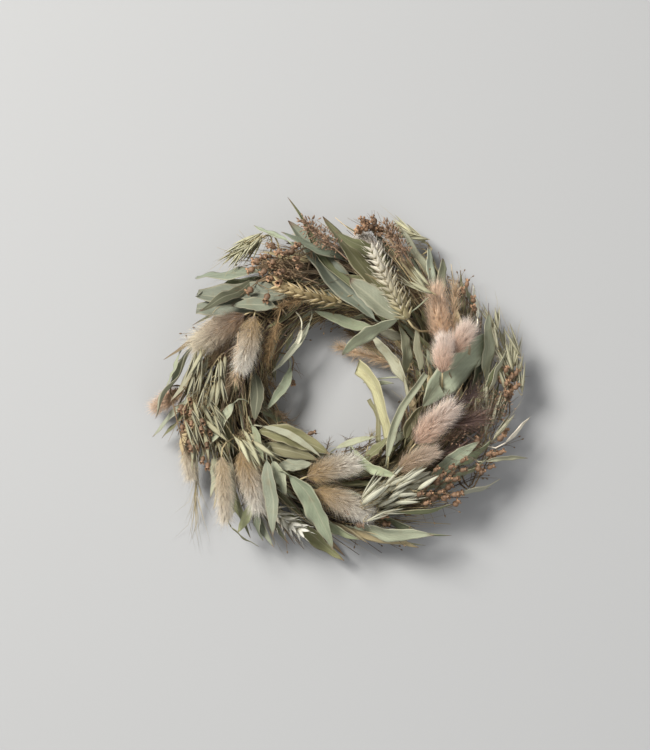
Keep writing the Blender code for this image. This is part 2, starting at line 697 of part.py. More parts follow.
def island(start):
    """The faces joined to this one across edges."""
    found, rim = {start}, [start]
    while rim:
        near = {face for old in rim for line in old.edges for face in line.link_faces} - found
        found |= near
        rim = list(near)
    return found


def keep_largest(mesh):
    """Drops what a union leaves loose or seals inside, so that one closed surface is left."""
    shape = bmesh.new()
    shape.from_mesh(mesh)
    left, islands = set(shape.faces), []
    while left:
        islands.append(island(next(iter(left))))
        left -= islands[-1]
    islands.sort(key=len)
    scraps = [face for faces in islands[:-1] for face in faces]
    bmesh.ops.delete(shape, geom=scraps, context="FACES")
    shape.to_mesh(mesh)
    shape.free()


def fuse(name, solids, collection):
    """A node: its stem bundle with every piece that is rooted in it joined on by one union."""
    whole = put(name, solids[0], collection)
    rest = bpy.data.collections.new(name)
    bpy.context.scene.collection.children.link(rest)
    for number, solid in enumerate(solids[1:]):
        put(f"{name}_{number}", solid, rest)
    union = whole.modifiers.new("union", "BOOLEAN")
    union.operation = "UNION"
    union.operand_type = "COLLECTION"
    union.collection = rest
    union.solver = "MANIFOLD"
    graph = bpy.context.evaluated_depsgraph_get()
    joined = bpy.data.meshes.new_from_object(whole.evaluated_get(graph))
    whole.modifiers.clear()
    keep_largest(joined)
    whole.data = joined
    for piece in list(rest.objects):
        bpy.data.objects.remove(piece)
    bpy.data.collections.remove(rest)
    return whole


def stand_on_origin(objects):
    """Moves all meshes so that the middle of the underside of their common box is the origin."""
    points = np.concatenate([np.array([point.co for point in made.data.vertices]) for made in objects])
    low, high = points.min(axis=0), points.max(axis=0)
    move = Matrix.Translation((-(low[0] + high[0]) / 2, -(low[1] + high[1]) / 2, -low[2]))
    for made in objects:
        made.data.transform(move)


def main():
    for old in list(bpy.data.objects):
        bpy.data.objects.remove(old)
    collection = bpy.context.scene.collection
    nodes = [put("vine_ring", vine_solid(), collection), put("binding_wire", wire_solid(), collection)]
    nodes += [fuse(name, solids, collection) for name, solids in lay_all().items()]
    for node in nodes:
        kind = node.name if node.name in COLOURS else node.name.split("_")[0]
        node.data.materials.clear()
        node.data.materials.append(material(kind))
    stand_on_origin(nodes)


main()
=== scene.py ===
# The looks of a small wreath of dried plants, which lies on its back on a pale floor.
#
# Twelve bunches are tied one after another round a ring of twisted vine. The first half of this script lays
# every leaf, head, seed and stem where the solids have it, by the same plan and the same rule for settling.
# The second half draws each of them with a fine surface, and adds what is too thin for a solid: hairs, awns,
# grass and twigs.

import math
import random
import zlib
from collections import namedtuple

import bpy
import numpy as np
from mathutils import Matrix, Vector
from mathutils.bvhtree import BVHTree


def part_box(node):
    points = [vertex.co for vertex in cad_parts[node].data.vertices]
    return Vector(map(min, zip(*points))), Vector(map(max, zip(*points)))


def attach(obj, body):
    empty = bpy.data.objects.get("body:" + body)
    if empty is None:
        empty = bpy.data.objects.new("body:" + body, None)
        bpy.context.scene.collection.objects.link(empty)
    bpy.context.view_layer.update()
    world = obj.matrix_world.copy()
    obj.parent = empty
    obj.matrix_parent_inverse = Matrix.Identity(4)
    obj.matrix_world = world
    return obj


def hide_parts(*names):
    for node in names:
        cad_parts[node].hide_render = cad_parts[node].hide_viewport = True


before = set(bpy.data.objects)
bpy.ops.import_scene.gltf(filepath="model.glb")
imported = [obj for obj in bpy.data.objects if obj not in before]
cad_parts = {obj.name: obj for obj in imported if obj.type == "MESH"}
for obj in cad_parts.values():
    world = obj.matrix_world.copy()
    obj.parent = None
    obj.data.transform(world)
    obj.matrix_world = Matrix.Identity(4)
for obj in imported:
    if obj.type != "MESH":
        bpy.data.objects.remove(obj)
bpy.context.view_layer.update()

MM = 0.001
SEED = 20

# The ring of twisted vine, its three low knots, and the wire round it.
RING_RADIUS = 79.0
VINE_RADIUS = 5.2
VINE_LOBE = 0.9
VINE_STRANDS = 3
VINE_TURNS = 7
VINE_STATIONS = 48
VINE_SIDES = 8
RING_HEIGHT = 8.3
KNOT_ANGLES = (math.radians(30), math.radians(150), math.radians(270))
KNOT_REACH = math.radians(4)
WIRE_RADIUS = 0.45
WIRE_SIDES = 3
WIRE_TURNS = 1
WIRE_POINTS_PER_TURN = 6
WIRE_STARTS = 3.0
WIRE_PITCH = 3.4
WIRE_BACK = math.radians(-135)

# The bunches: where they start, and the five places for their stem bundles round the ring's section.
BUNCHES = 12
FIRST_BUNCH = math.radians(15)
BUNCH_STEP = 2 * math.pi / BUNCHES
BUNDLE_RADIUS = 2.5
BUNDLE_TIP = 1.1
BUNDLE_LENGTH = 46.0
BUNDLE_FLAT = 14.0
BUNDLE_RISE = 0.27
BUNDLE_SIDES = 4
SEAT_GAP = 0.4
SEAT = VINE_RADIUS + VINE_LOBE + SEAT_GAP + BUNDLE_RADIUS
SLOT_ANGLES = tuple(math.radians(degrees) for degrees in (10, 48, 86, 124, 162))
SLOTS = ("leaves_outer", "oats", "pods", "tails", "leaves_inner")
SLOTS_OF_BUNCH = {
    1: ("tails", "oats", "pods", "leaves_outer", "leaves_inner"),
    5: ("tails", "leaves_outer", "pods", "oats", "leaves_inner"),
}

# The dome that the front of the wreath makes over the ring.
CREST = 46.0
REACH_IN = 42.0
REACH_OUT = 56.0
RIM_SHARE = 0.22
FRONT_LEAN = 0.35

# The pieces themselves.
BLADE = 0.7
PETIOLE = 1.7
BLADE_TIP = 0.12
BLADE_UP = 0.06
BLADE_TWIST = 0.25
BLADE_STATIONS = (0.0, 0.2, 0.48, 0.78, 1.0)
NARROW_STATIONS = (0.0, 0.3, 0.7, 1.0)
NARROW = 9.0
HEAD_STATIONS = (0.0, 0.1, 0.25, 0.4, 0.55, 0.7, 0.85, 1.0)
HEAD_SIDES = 8
HEAD_END = 0.12
SPIKE_OUT = 0.32
SPIKE_ON = 0.09
STALK = 0.55
STALK_RISE = 0.5
STALK_BEND = 0.4
STALK_LEAD = 0.05
POD_CROWN = 0.5
OAT_POINT = 0.14
CLEAR = 0.35
LEAST_TURN = 0.3
LIFTS = tuple(1.5 * step for step in range(14))
BASE_LIFT = 0.7
FIRST_ROOT = 5.0
LAST_ROOT = BUNDLE_LENGTH - 4.0
ROOT_STEPS = (0.0, -5.0, 5.0, -10.0, 10.0, -15.0, 15.0, 20.0)
SPIRAL = 2.4
SPLAY = 0.35
SEED_ROOT = 0.6
SEED_ENDS = (0.05, 0.95)
SEED_SWING = 0.3
SEED_SLANT = 0.25
SEED_CRESTS = (0.8, 1.1)
SEED_WIDTHS = (0.85, 1.15)
SEED_BOW = 0.05
SEED_ROLLS = (0, 1.5)
SEED_STEPS = (0.0, -0.12, 0.12, -0.24, 0.24, -0.36, 0.36)
LOWEST = 1.2
LEAF_START = 6.0
OUTER_FROM = RING_RADIUS + 6.0
LEAF_LEAD = 14.0
HEAD_LEAD = 16.0
HEAD_SIDE = 0.04
HEAD_UP = 0.06
EAR_ROOT = 12.0
OAT_LENGTH = 21.0
OAT_WIDTH = 4.4
POD_LENGTH = 5.4
POD_WIDTH = 4.8
STEM_WIDTH = 2.0
STEM_TURN = 10.0
STEM_ROOT = 24.0
STEM_TAPER = (1.0, 1.0, 0.9, 0.6)
STEM_LEAD = 8.0
STEM_LOW = 0.55
STEM_HIGH = 0.85

Piece = namedtuple(
    "Piece",
    "form bunch slot along base tip width side up roll twist name root style",
    defaults=(0.0, 0.0, 0.0, 0.0, None, None, None),
)
Spray = namedtuple("Spray", "bunch middle along across count crest")
Fill = namedtuple("Fill", "slot count slants reaches lengths widths")


# Places on the wreath.


def unit(vector):
    """Vectors of length 1 in the same directions."""
    return vector / np.linalg.norm(vector, axis=-1, keepdims=True)


def shell_point(angle, slant, reach):
    """The point at this reach from the ring's centre line. Slant 0 is outward, a right angle the front."""
    radius = RING_RADIUS + reach * np.cos(slant)
    height = RING_HEIGHT + reach * np.sin(slant)
    return np.stack([radius * np.cos(angle), radius * np.sin(angle), height], axis=-1)


def ring_line(points):
    """The nearest points of the ring's centre line."""
    return unit(points * (1, 1, 0)) * RING_RADIUS + (0, 0, RING_HEIGHT)


def outward(points):
    """Unit vectors from the ring's centre line to the points, turned a little to the front."""
    return unit(unit(points - ring_line(points)) + (0, 0, FRONT_LEAN))


def on_dome(place, crest):
    """A place seen from the front, raised to a share (crest) of the dome's height over the ring."""
    radius = math.hypot(*place)
    reach = REACH_OUT if radius > RING_RADIUS else REACH_IN
    share = min(1.0, abs(radius - RING_RADIUS) / reach)
    rise = RIM_SHARE + (1 - RIM_SHARE) * math.sqrt(1 - share**2)
    return np.array([place[0], place[1], RING_HEIGHT + crest * CREST * rise])


def bunch_angle(bunch):
    return FIRST_BUNCH + bunch * BUNCH_STEP


def bundle_point(bunch, slot, along):
    """The middle of a stem bundle, flat on the ring where it is tied and rising after that."""
    order = SLOTS_OF_BUNCH.get(bunch, SLOTS)
    rise = BUNDLE_RISE * max(0.0, along - BUNDLE_FLAT)
    return shell_point(bunch_angle(bunch) + along / RING_RADIUS, SLOT_ANGLES[order.index(slot)], SEAT + rise)


def bunch_below(angle):
    """The last bunch that starts LEAF_START or more before a ring angle, and how far on from its start."""
    turns = (angle - FIRST_BUNCH) % (2 * math.pi) - LEAF_START / RING_RADIUS
    bunch = int(turns // BUNCH_STEP) % BUNCHES
    along = ((angle - bunch_angle(bunch)) % (2 * math.pi)) * RING_RADIUS
    return bunch, along


def node_name(slot, bunch):
    return f"{slot}_{bunch + 1:02d}"


def node_of(piece):
    return piece.name or node_name(piece.slot, piece.bunch)


# Solids as rings of points.


def loft(rings, closed=False):
    """A closed solid through rings of points. The flat sides of a blade are split alike above and below."""
    stations, sides, _ = rings.shape
    spans = stations if closed else stations - 1
    i, j = (grid.ravel() for grid in np.meshgrid(np.arange(spans), np.arange(sides), indexing="ij"))
    after, beside = (i + 1) % stations, (j + 1) % sides
    a, b = i * sides + j, i * sides + beside
    c, d = after * sides + j, after * sides + beside
    swap = (j >= sides // 2)[:, None]
    first = np.where(swap, np.stack([a, b, c], 1), np.stack([a, b, d], 1))
    second = np.where(swap, np.stack([b, d, c], 1), np.stack([a, d, c], 1))
    faces = np.concatenate([first, second]).tolist()
    if not closed:
        last = (stations - 1) * sides
        faces += [list(range(sides))[::-1], [last + side for side in range(sides)]]
    return rings.reshape(-1, 3), faces


def frames(points, roll):
    """Two unit vectors across a path at each point: one along the blade's width, one out of its face.

    They are set at the tip, whose face looks away from the ring, and carried back to the root without twist.
    """
    along = unit(np.gradient(points, axis=0))
    carried = [unit(np.cross(outward(points[-1:])[0], along[-1]))]
    for step in along[-2::-1]:
        carried.append(unit(carried[-1] - step * (carried[-1] @ step)))
    across = np.array(carried[::-1])
    face = np.cross(along, across)
    roll = np.broadcast_to(roll, len(points))[:, None]
    return across * np.cos(roll) + face * np.sin(roll), face * np.cos(roll) - across * np.sin(roll)


def turned(across, beside, turn):
    """Vectors turned from one across a path to another: across cos turn + beside sin turn."""
    return across * np.cos(turn)[..., None] + beside * np.sin(turn)[..., None]


def circles(across, beside, sides):
    """Such vectors in even steps all the way round, for each point of a path."""
    return turned(across[..., None, :], beside[..., None, :], 2 * np.pi * np.arange(sides) / sides)


def square_to(out, along):
    """Unit vectors like out, turned until they are square to the directions along."""
    return unit(out - along * (out * along).sum(axis=-1, keepdims=True))


def tube(points, radii, sides):
    """A solid round a path, with a radius at each of its points."""
    return loft(points[:, None] + radii[:, None, None] * circles(*frames(points, 0.0), sides))


def curve(piece, shares):
    """Points of the arc from the piece's base to its tip, at shares of its length."""
    middle = (piece.base + piece.tip) / 2
    along = piece.tip - piece.base
    across = unit(np.cross(outward(middle), along))
    length = np.linalg.norm(along)
    middle = middle + length * (piece.side * across + piece.up * outward(middle))
    t = np.asarray(shares)[:, None]
    return (1 - t) ** 2 * piece.base + 2 * t * (1 - t) * middle + t**2 * piece.tip


def stalk(piece, shares):
    """Points of the stalk from the bundle to the piece's base. It leaves along the ring and meets the arc."""
    start, end = curve(piece, (0.0, STALK_LEAD))
    root = bundle_point(piece.bunch, piece.slot, piece.along) if piece.root is None else piece.root
    reach = np.linalg.norm(piece.base - root) * STALK_BEND
    growth = unit(np.cross((0, 0, 1), root * (1, 1, 0)))
    first = root + unit(growth + STALK_RISE * outward(root)) * reach
    second = piece.base - unit(end - start) * reach
    t = np.asarray(shares)[:, None]
    return (
        (1 - t) ** 3 * root
        + 3 * t * (1 - t) ** 2 * first
        + 3 * t**2 * (1 - t) * second
        + t**3 * piece.base
    )


def blade_solid(piece, grow=0.0):
    """A leaf: a thin strip whose width follows a willow leaf's outline, rooted by its petiole."""
    t = np.array(NARROW_STATIONS if piece.width < NARROW else BLADE_STATIONS)
    points = np.concatenate([stalk(piece, (0.0,)), curve(piece, t)])
    outline = np.maximum(BLADE_TIP, np.sin(np.pi * t**0.8) ** 0.8)
    width = np.concatenate([[PETIOLE], np.maximum(PETIOLE, piece.width * outline)]) / 2 + grow
    thick = np.concatenate([[PETIOLE] * 2, np.full(len(t) - 1, BLADE)]) / 2 + grow
    roll = np.concatenate([[piece.roll], piece.roll + piece.twist * t])
    across, face = frames(points, roll)
    corners = np.array([(1, 1), (-1, 1), (-1, -1), (1, -1)])
    across = across[:, None] * corners[:, :1] * width[:, None, None]
    face = face[:, None] * corners[:, 1:] * thick[:, None, None]
    return loft(points[:, None] + across + face)


def head_solid(piece, grow=0.0):
    """A soft head on its stalk: an oval raised into rows of points that lean to the tip."""
    t = np.array(HEAD_STATIONS)
    points = np.concatenate([stalk(piece, (0.0,)), curve(piece, t)])
    oval = piece.width / 2 * np.maximum(HEAD_END, np.sin(np.pi * t**0.8) ** 0.65)
    radii = np.concatenate([[STALK], oval]) + grow
    circle = circles(*frames(points, 0.0), HEAD_SIDES)
    row = np.arange(len(points))[:, None]
    spiked = ((row + np.arange(HEAD_SIDES)) % 2 == 0) & (row > 1) & (row < len(points) - 1)
    length = np.linalg.norm(piece.tip - piece.base)
    along = unit(np.gradient(points, axis=0))[:, None]
    out = radii[:, None, None] * (1 + SPIKE_OUT * spiked[..., None])
    return loft(points[:, None] + out * circle + along * length * SPIKE_ON * spiked[..., None])


def seed_solid(piece, grow=0.0):
    """A spindle on a thin stalk, as an oat has, or a capsule with a narrow crown."""
    points = np.concatenate([stalk(piece, (0.0, 1.0)), curve(piece, (0.45, 1.0))])
    end = piece.width / 2 * (POD_CROWN if piece.form == "pod" else OAT_POINT)
    radii = np.array([STALK, STALK, piece.width / 2, end]) + grow
    return tube(points, radii, 4)


def stem_solid(piece, grow=0.0):
    """The stem of a spray, which its seeds grow from."""
    points = np.concatenate([stalk(piece, (0.0,)), curve(piece, (0.0, 0.5, 1.0))])
    return tube(points, piece.width / 2 * np.array(STEM_TAPER) + grow, 3)


SOLIDS = {
    "leaf": blade_solid,
    "tail": head_solid,
    "ear": head_solid,
    "oat": seed_solid,
    "pod": seed_solid,
    "stem": stem_solid,
}

# How many points of each solid, from its root on, may lie inside other pieces of its own node.
ROOT_POINTS = {"leaf": 8, "tail": 16, "ear": 16, "oat": 4, "pod": 4, "stem": 3}


# The plan: every piece that is tied into the wreath.

# Leaves that show: where they come into sight and where the tip lies, right of and above the centre as seen
# from the front, the width, the heights at both ends as shares of the dome, the bow to the side, the roll and
# the look: its colour, after an outline where that isn't a willow leaf's.
LEAVES = (
    ((-54, 82), (-108, 79), 10.6, 0.60, 0.62, 0.08, 0.3, "torn grey"),
    ((-35, 63), (-107, 66), 11.5, 0.74, 0.66, 0.04, 0.0, "torn blue"),
    ((-40, 60), (-106, 54), 11.5, 0.68, 0.58, 0.02, -0.3, "torn blue"),
    ((-46, 53), (-77, 54), 9.0, 0.90, 0.86, -0.10, 0.0, "blue"),
    ((40, 44), (-13, 122), 17.0, 0.76, 0.58, -0.02, 0.25, "broad olive"),
    ((38, 43), (-36, 129), 8.5, 0.50, 0.36, 0.10, 0.4, "olive"),
    ((24, 47), (-38, 120), 15.5, 0.56, 0.46, 0.03, -0.2, "broad blue"),
    ((40, 45), (6, 71), 13.5, 1.08, 1.08, 0.04, 0.1, "round grey"),
    ((40, 44), (1, 29), 12.0, 1.10, 0.80, -0.12, -0.2, "mist"),
    ((24, 41), (-20, 53), 7.5, 0.55, 0.60, 0.04, 0.5, "sage"),
    ((48, 0), (21, 38), 8.0, 0.62, 0.55, -0.10, 0.2, "pale"),
    ((45, 9), (40, 42), 8.5, 0.50, 0.75, -0.30, 0.8, "sage"),
    ((33, -51), (12, 15), 7.6, 0.70, 1.10, -0.28, 0.2, "strap lime"),
    ((28, -50), (20, -9), 4.4, 0.50, 0.60, -0.15, 0.3, "reed olive"),
    ((32, -51), (59, 6), 6.6, 0.85, 0.95, 0.12, 0.4, "reed pale"),
    ((45, -39), (57, -16), 8.5, 0.75, 0.85, 0.16, 0.9, "olive"),
    ((58, -15), (108, 38), 20.5, 0.50, 0.64, 0.05, 0.1, "broad mist"),
    ((93, -6), (102, 25), 10.0, 0.38, 0.44, 0.10, 0.3, "dark"),
    ((106, 24), (129, 12), 8.0, 0.45, 0.60, 0.10, 0.2, "rosy"),
    ((100, -11), (111, 17), 6.0, 0.60, 0.62, 0.05, 0.2, "sage"),
    ((111, -40), (126, -22), 4.6, 0.70, 0.80, 0.10, 0.3, "cream"),
    ((95, -52), (121, -48), 3.6, 0.62, 0.70, 0.12, 0.3, "pale"),
    ((79, -56), (105, -39), 8.5, 0.72, 0.78, -0.12, 0.3, "sage"),
    ((49, -75), (111, -44), 9.9, 0.60, 0.70, -0.14, 0.5, "sage"),
    ((76, -78), (113, -66), 7.4, 0.66, 0.72, -0.12, 0.3, "pale"),
    ((24, -88), (78, -106), 9.6, 0.66, 0.62, -0.16, 0.4, "sage"),
    ((19, -102), (60, -113), 6.0, 0.45, 0.42, -0.10, 0.3, "olive"),
    ((-36, -65), (-6, -114), 13.0, 0.98, 0.66, 0.16, 0.1, "grey"),
    ((-44, -57), (-20, -56), 8.5, 0.76, 0.78, -0.08, 0.0, "pale"),
    ((-58, -34), (-8, -50), 12.5, 0.92, 0.96, 0.12, 0.1, "olive"),
    ((-56, -44), (-16, -54), 9.0, 0.80, 0.84, 0.06, 0.4, "olive"),
    ((-48, -55), (-38, -78), 8.0, 0.86, 0.80, 0.06, 0.2, "pale"),
    ((-52, -55), (-43, -97), 10.5, 0.78, 0.66, 0.05, 0.2, "grey"),
    ((-62, -83), (-73, -104), 6.6, 0.62, 0.52, 0.05, 0.2, "lime"),
    ((-60, -86), (-55, -110), 6.6, 0.62, 0.52, -0.10, 0.2, "blue"),
    ((-78, -100), (-58, -114), 4.6, 0.40, 0.36, -0.05, 0.2, "olive"),
    ((-86, -52), (-90, -88), 5.6, 0.66, 0.60, 0.10, 0.5, "straw"),
    ((-106, -8), (-135, -36), 7.2, 0.60, 0.66, 0.04, 0.3, "grey"),
    ((-106, -10), (-128, -37), 6.0, 0.50, 0.48, 0.10, 0.4, "olive"),
    ((-75, -14), (-100, -55), 10.2, 0.78, 0.74, -0.02, 0.2, "pale"),
    ((-61, 8), (-61, -27), 9.5, 0.60, 0.66, 0.08, 0.4, "dark"),
    ((-36, 14), (-53, -18), 6.4, 0.62, 0.60, 0.12, 0.3, "pale"),
    ((-90, 45), (-122, 18), 4.2, 0.50, 0.36, 0.20, 0.2, "umber"),
    ((-112, 22), (-120, -2), 6.8, 0.45, 0.40, 0.20, 0.3, "pale"),
    ((64, 66), (62, 99), 7.4, 0.55, 0.62, -0.05, 0.1, "round mist"),
    ((71, 64), (73, 91), 8.0, 0.50, 0.56, 0.04, 0.2, "round pale"),
    ((94, 57), (86, 74), 6.4, 0.50, 0.60, 0.04, 0.2, "sage"),
    ((97, 47), (94, 72), 5.4, 0.60, 0.66, 0.05, 0.2, "cream"),
    ((-38, 104), (-63, 117), 6.0, 0.55, 0.60, 0.10, 0.3, "pale"),
)

# Soft heads: the bunch that holds them, base, tip, width, the heights at both ends and the colour.
TAILS = (
    (3, (-68, 48), (-103, 27), 20, 0.80, 0.74, "amber"),
    (3, (-61, 47), (-70, 9), 16, 0.86, 0.92, "cream"),
    (5, (-112, -3), (-134, -15), 12, 0.45, 0.40, "tan"),
    (5, (-108, -28), (-107, -66), 13, 0.40, 0.30, "pale"),
    (6, (-70, -48), (-57, -88), 18, 0.88, 0.82, "cream"),
    (6, (-80, -50), (-74, -88), 13, 0.72, 0.68, "pale"),
    (7, (-24, -66), (11, -58), 17, 0.86, 0.90, "cream"),
    (7, (-18, -75), (18, -91), 18, 0.80, 0.74, "cream"),
    (9, (51, -43), (77, -18), 18, 1.00, 1.06, "pink"),
    (9, (40, -62), (64, -48), 13, 0.60, 0.62, "lilac"),
    (11, (71, 28), (67, 68), 16, 0.72, 0.80, "tan"),
    (11, (78, 21), (90, 39), 14, 0.84, 0.94, "pink"),
    (1, (30, 90), (14, 109), 13, 0.36, 0.36, "grey"),
)

# Ears: a name, the bunch, the free place on the ring, then as for the heads.
EARS = (
    ("ear_white", 0, "pods", (47, 44), (20, 93), 12.5, 1.00, 0.92, "cream"),
    ("ear_golden", 2, "tails", (-3, 57), (-47, 69), 10.0, 0.90, 0.98, "gold"),
    ("ear_husk", 7, "pods", (-53, -86), (-28, -103), 10.0, 0.70, 0.60, "husk"),
)

# Sprays of oats and of pods: the bunch, the middle of the cloud of seeds, its half sizes along and across the
# growth, how many seeds it has, and its height as a share of the dome's.
OAT_SPRAYS = (
    Spray(1, (48, 111), 8, 5, 2, 0.35),
    Spray(3, (-70, 99), 11, 6, 3, 0.60),
    Spray(4, (-92, 6), 17, 14, 7, 0.82),
    Spray(5, (-92, -38), 16, 14, 6, 0.78),
    Spray(6, (-62, -47), 8, 8, 3, 0.95),
    Spray(8, (36, -74), 22, 11, 9, 0.84),
    Spray(10, (103, -23), 10, 9, 3, 0.66),
    Spray(11, (118, 18), 17, 8, 6, 0.50),
)
POD_SPRAYS = (
    Spray(1, (20, 112), 9, 6, 6, 0.60),
    Spray(2, (-45, 86), 17, 15, 10, 1.00),
    Spray(3, (-62, 70), 12, 16, 3, 0.90),
    Spray(4, (-82, 24), 20, 14, 3, 0.60),
    Spray(5, (-104, -33), 22, 8, 9, 0.72),
    Spray(8, (20, -92), 24, 10, 4, 0.62),
    Spray(9, (72, -74), 13, 14, 8, 0.78),
    Spray(10, (104, -42), 22, 14, 6, 0.74),
    Spray(11, (118, 2), 12, 7, 6, 0.62),
)

# Leaves that fill each bunch at its outer and inner sides, drawn by a seeded rule.
FILL_TRIES = 10
FILL_FIRST = 6
FILL_LAST = BUNDLE_LENGTH - 14
FILL_OUT = (14, 19)
FILL_RISE = 0.1
FILL_LEAD = 0.25
FILL_TURN = 0.2
FILL_BOW = 0.12
FILL_ROLL = 0.5
FILL_TWIST = 0.4
FILLS = (
    Fill("leaves_outer", 2, (math.radians(-3), math.radians(62)), (34, 48), (42, 52), (7, 11)),
    Fill("leaves_inner", 2, (math.radians(118), math.radians(186)), (24, 33), (34, 50), (6, 9)),
)


def leaf_plan(rows=LEAVES):
    """Every leaf that shows, on the bunch and the side of the ring that it comes from."""
    for base, tip, width, low, high, side, roll, style in rows:
        slot = "leaves_outer" if math.hypot(*base) > OUTER_FROM else "leaves_inner"
        bunch, along = bunch_below(math.atan2(base[1], base[0]))
        yield Piece(
            "leaf", bunch, slot, along - LEAF_LEAD, on_dome(base, low), on_dome(tip, high),
            width, side, BLADE_UP, roll, BLADE_TWIST, style=style,
        )


def head_plan(rows=TAILS):
    """The soft heads, each with its stalk."""
    for bunch, base, tip, width, low, high, style in rows:
        along = ((math.atan2(base[1], base[0]) - bunch_angle(bunch)) % (2 * math.pi)) * RING_RADIUS
        start, end = on_dome(base, low), on_dome(tip, high)
        yield Piece(
            "tail", bunch, "tails", along - HEAD_LEAD, start, end, width, HEAD_SIDE, HEAD_UP, style=style
        )


def ear_plan():
    """The ears, each with its stalk and a place of its own on the ring."""
    for name, bunch, slot, base, tip, width, low, high, style in EARS:
        start, end = on_dome(base, low), on_dome(tip, high)
        yield Piece(
            "ear", bunch, slot, EAR_ROOT, start, end, width, HEAD_SIDE, HEAD_UP, name=name, style=style
        )


def seed(draw, spray, slot, form, length, width, index):
    """One seed of a spray. Their places spiral out from the middle of the cloud, and all point along."""
    middle = np.array(spray.middle, float)
    across = unit(middle)
    growth = np.array([-across[1], across[0]])
    turn = SPIRAL * index + draw.uniform(-SEED_SWING, SEED_SWING)
    spread = math.sqrt((index + 0.5) / spray.count)
    ahead, aside = spread * math.cos(turn), spread * math.sin(turn)
    place = middle + growth * spray.along * ahead + across * spray.across * aside
    half = (growth + across * (SPLAY * aside + draw.uniform(-SEED_SLANT, SEED_SLANT))) * length / 2
    crest = spray.crest * draw.uniform(*SEED_CRESTS)
    wide = width * draw.uniform(*SEED_WIDTHS)
    side, roll = draw.uniform(-SEED_BOW, SEED_BOW), draw.uniform(*SEED_ROLLS)
    start, end = on_dome(place - half, crest), on_dome(place + half, crest)
    return Piece(form, spray.bunch, slot, SEED_ROOT + SPLAY * ahead, start, end, wide, side, 0.0, roll)


def spray_plan(draw, sprays, slot, form, length, width):
    """A stem through an oval cloud of seeds, and then the seeds, each on its own stalk from the stem."""
    for spray in sprays:
        middle = np.array(spray.middle, float)
        growth = np.array([-middle[1], middle[0]]) / math.hypot(*spray.middle)
        start = on_dome(middle - growth * (spray.along + STEM_LEAD), spray.crest * STEM_LOW)
        end = on_dome(middle + growth * spray.along / 2, spray.crest * STEM_HIGH)
        yield Piece("stem", spray.bunch, slot, STEM_ROOT, start, end, STEM_WIDTH)
        for index in range(spray.count):
            yield seed(draw, spray, slot, form, length, width, index)


def fill_leaf(draw, bunch, fill):
    """A leaf that leaves its bundle along the ring and spreads as it goes."""
    along = draw.uniform(FILL_FIRST, FILL_LAST)
    start = bunch_angle(bunch) + along / RING_RADIUS
    slant = draw.uniform(*fill.slants)
    span = draw.uniform(*fill.lengths)
    out = draw.uniform(*FILL_OUT) + FILL_RISE * along
    base = shell_point(start + FILL_LEAD * span / RING_RADIUS, slant, out)
    end = start + span / RING_RADIUS
    tip = shell_point(end, slant + draw.uniform(-FILL_TURN, FILL_TURN), draw.uniform(*fill.reaches))
    width = draw.uniform(*fill.widths)
    side, rise = draw.uniform(-FILL_BOW, FILL_BOW), draw.uniform(0.0, FILL_BOW)
    roll, twist = draw.uniform(-FILL_ROLL, FILL_ROLL), draw.uniform(-FILL_TWIST, FILL_TWIST)
    return Piece("leaf", bunch, fill.slot, along, base, tip, width, side, rise, roll, twist)


def fill_plan(draw, bunch):
    """What fills one bunch: leaves at its outer and inner sides."""
    for fill in FILLS:
        for _ in range(fill.count):
            yield node_name(fill.slot, bunch), FILL_TRIES, lambda fill=fill: fill_leaf(draw, bunch, fill)


# Settling: each piece is laid on what is already there.


def sound(points, faces, tree):
    """Whether a lofted solid is neither wrung between two of its rings nor crosses itself."""
    rings = points.reshape(-1, len(faces[-1]), 3)
    spokes = unit(rings[:, 0] - rings.mean(axis=1))
    if (spokes[1:] * spokes[:-1]).sum(axis=1).min() < LEAST_TURN:
        return False
    return all(set(faces[one]) & set(faces[other]) for one, other in tree.overlap(tree))


class Pile:
    """The pieces laid so far. A new one is clear of them and of itself, but for its root in its own node."""

    def __init__(self):
        self.nodes, self.trees, self.low, self.high = [], [], [], []

    def add(self, node, solid):
        points, faces = solid
        self.nodes.append(node)
        self.trees.append(BVHTree.FromPolygons(points.tolist(), faces))
        self.low.append(points.min(axis=0))
        self.high.append(points.max(axis=0))

    def near(self, points):
        low, high = np.array(self.low), np.array(self.high)
        return np.flatnonzero(((low < points.max(axis=0)) & (high > points.min(axis=0))).all(axis=1))

    def clear(self, piece):
        points, faces = SOLIDS[piece.form](piece, grow=CLEAR)
        if points[:, 2].min() < LOWEST:
            return False
        tree = BVHTree.FromPolygons(points.tolist(), faces)
        outer = [face for face in faces if min(face) >= ROOT_POINTS[piece.form]]
        own = BVHTree.FromPolygons(points.tolist(), outer)
        for index in self.near(points):
            probe = own if self.nodes[index] == node_of(piece) else tree
            if probe.overlap(self.trees[index]):
                return False
        return sound(points, faces, tree)


def lifted(piece, rise):
    """The piece, laid higher by a distance measured away from the ring."""
    return piece._replace(
        base=piece.base + BASE_LIFT * rise * outward(piece.base),
        tip=piece.tip + rise * outward(piece.tip),
    )


def on_stem(piece, stem, share):
    """The seed, rooted at this share of its spray's stem."""
    share = min(max(share, SEED_ENDS[0]), SEED_ENDS[1])
    return piece._replace(root=curve(stem, (share,))[0])


def rooted(piece, stems):
    """The ways to root a piece: a seed along its spray's stem, others along a stem bundle of their bunch."""
    stem = stems.get(node_of(piece)) if piece.form in ("oat", "pod") else None
    if stem:
        for step in SEED_STEPS:
            yield on_stem(piece, stem, piece.along + step)
        return
    slots = ("leaves_inner", "leaves_outer") if piece.form == "leaf" else (piece.slot,)
    for slot in sorted(slots, key=lambda slot: slot != piece.slot):
        for step in ROOT_STEPS:
            along = min(max(piece.along + step, FIRST_ROOT), LAST_ROOT)
            yield piece._replace(slot=slot, along=along)


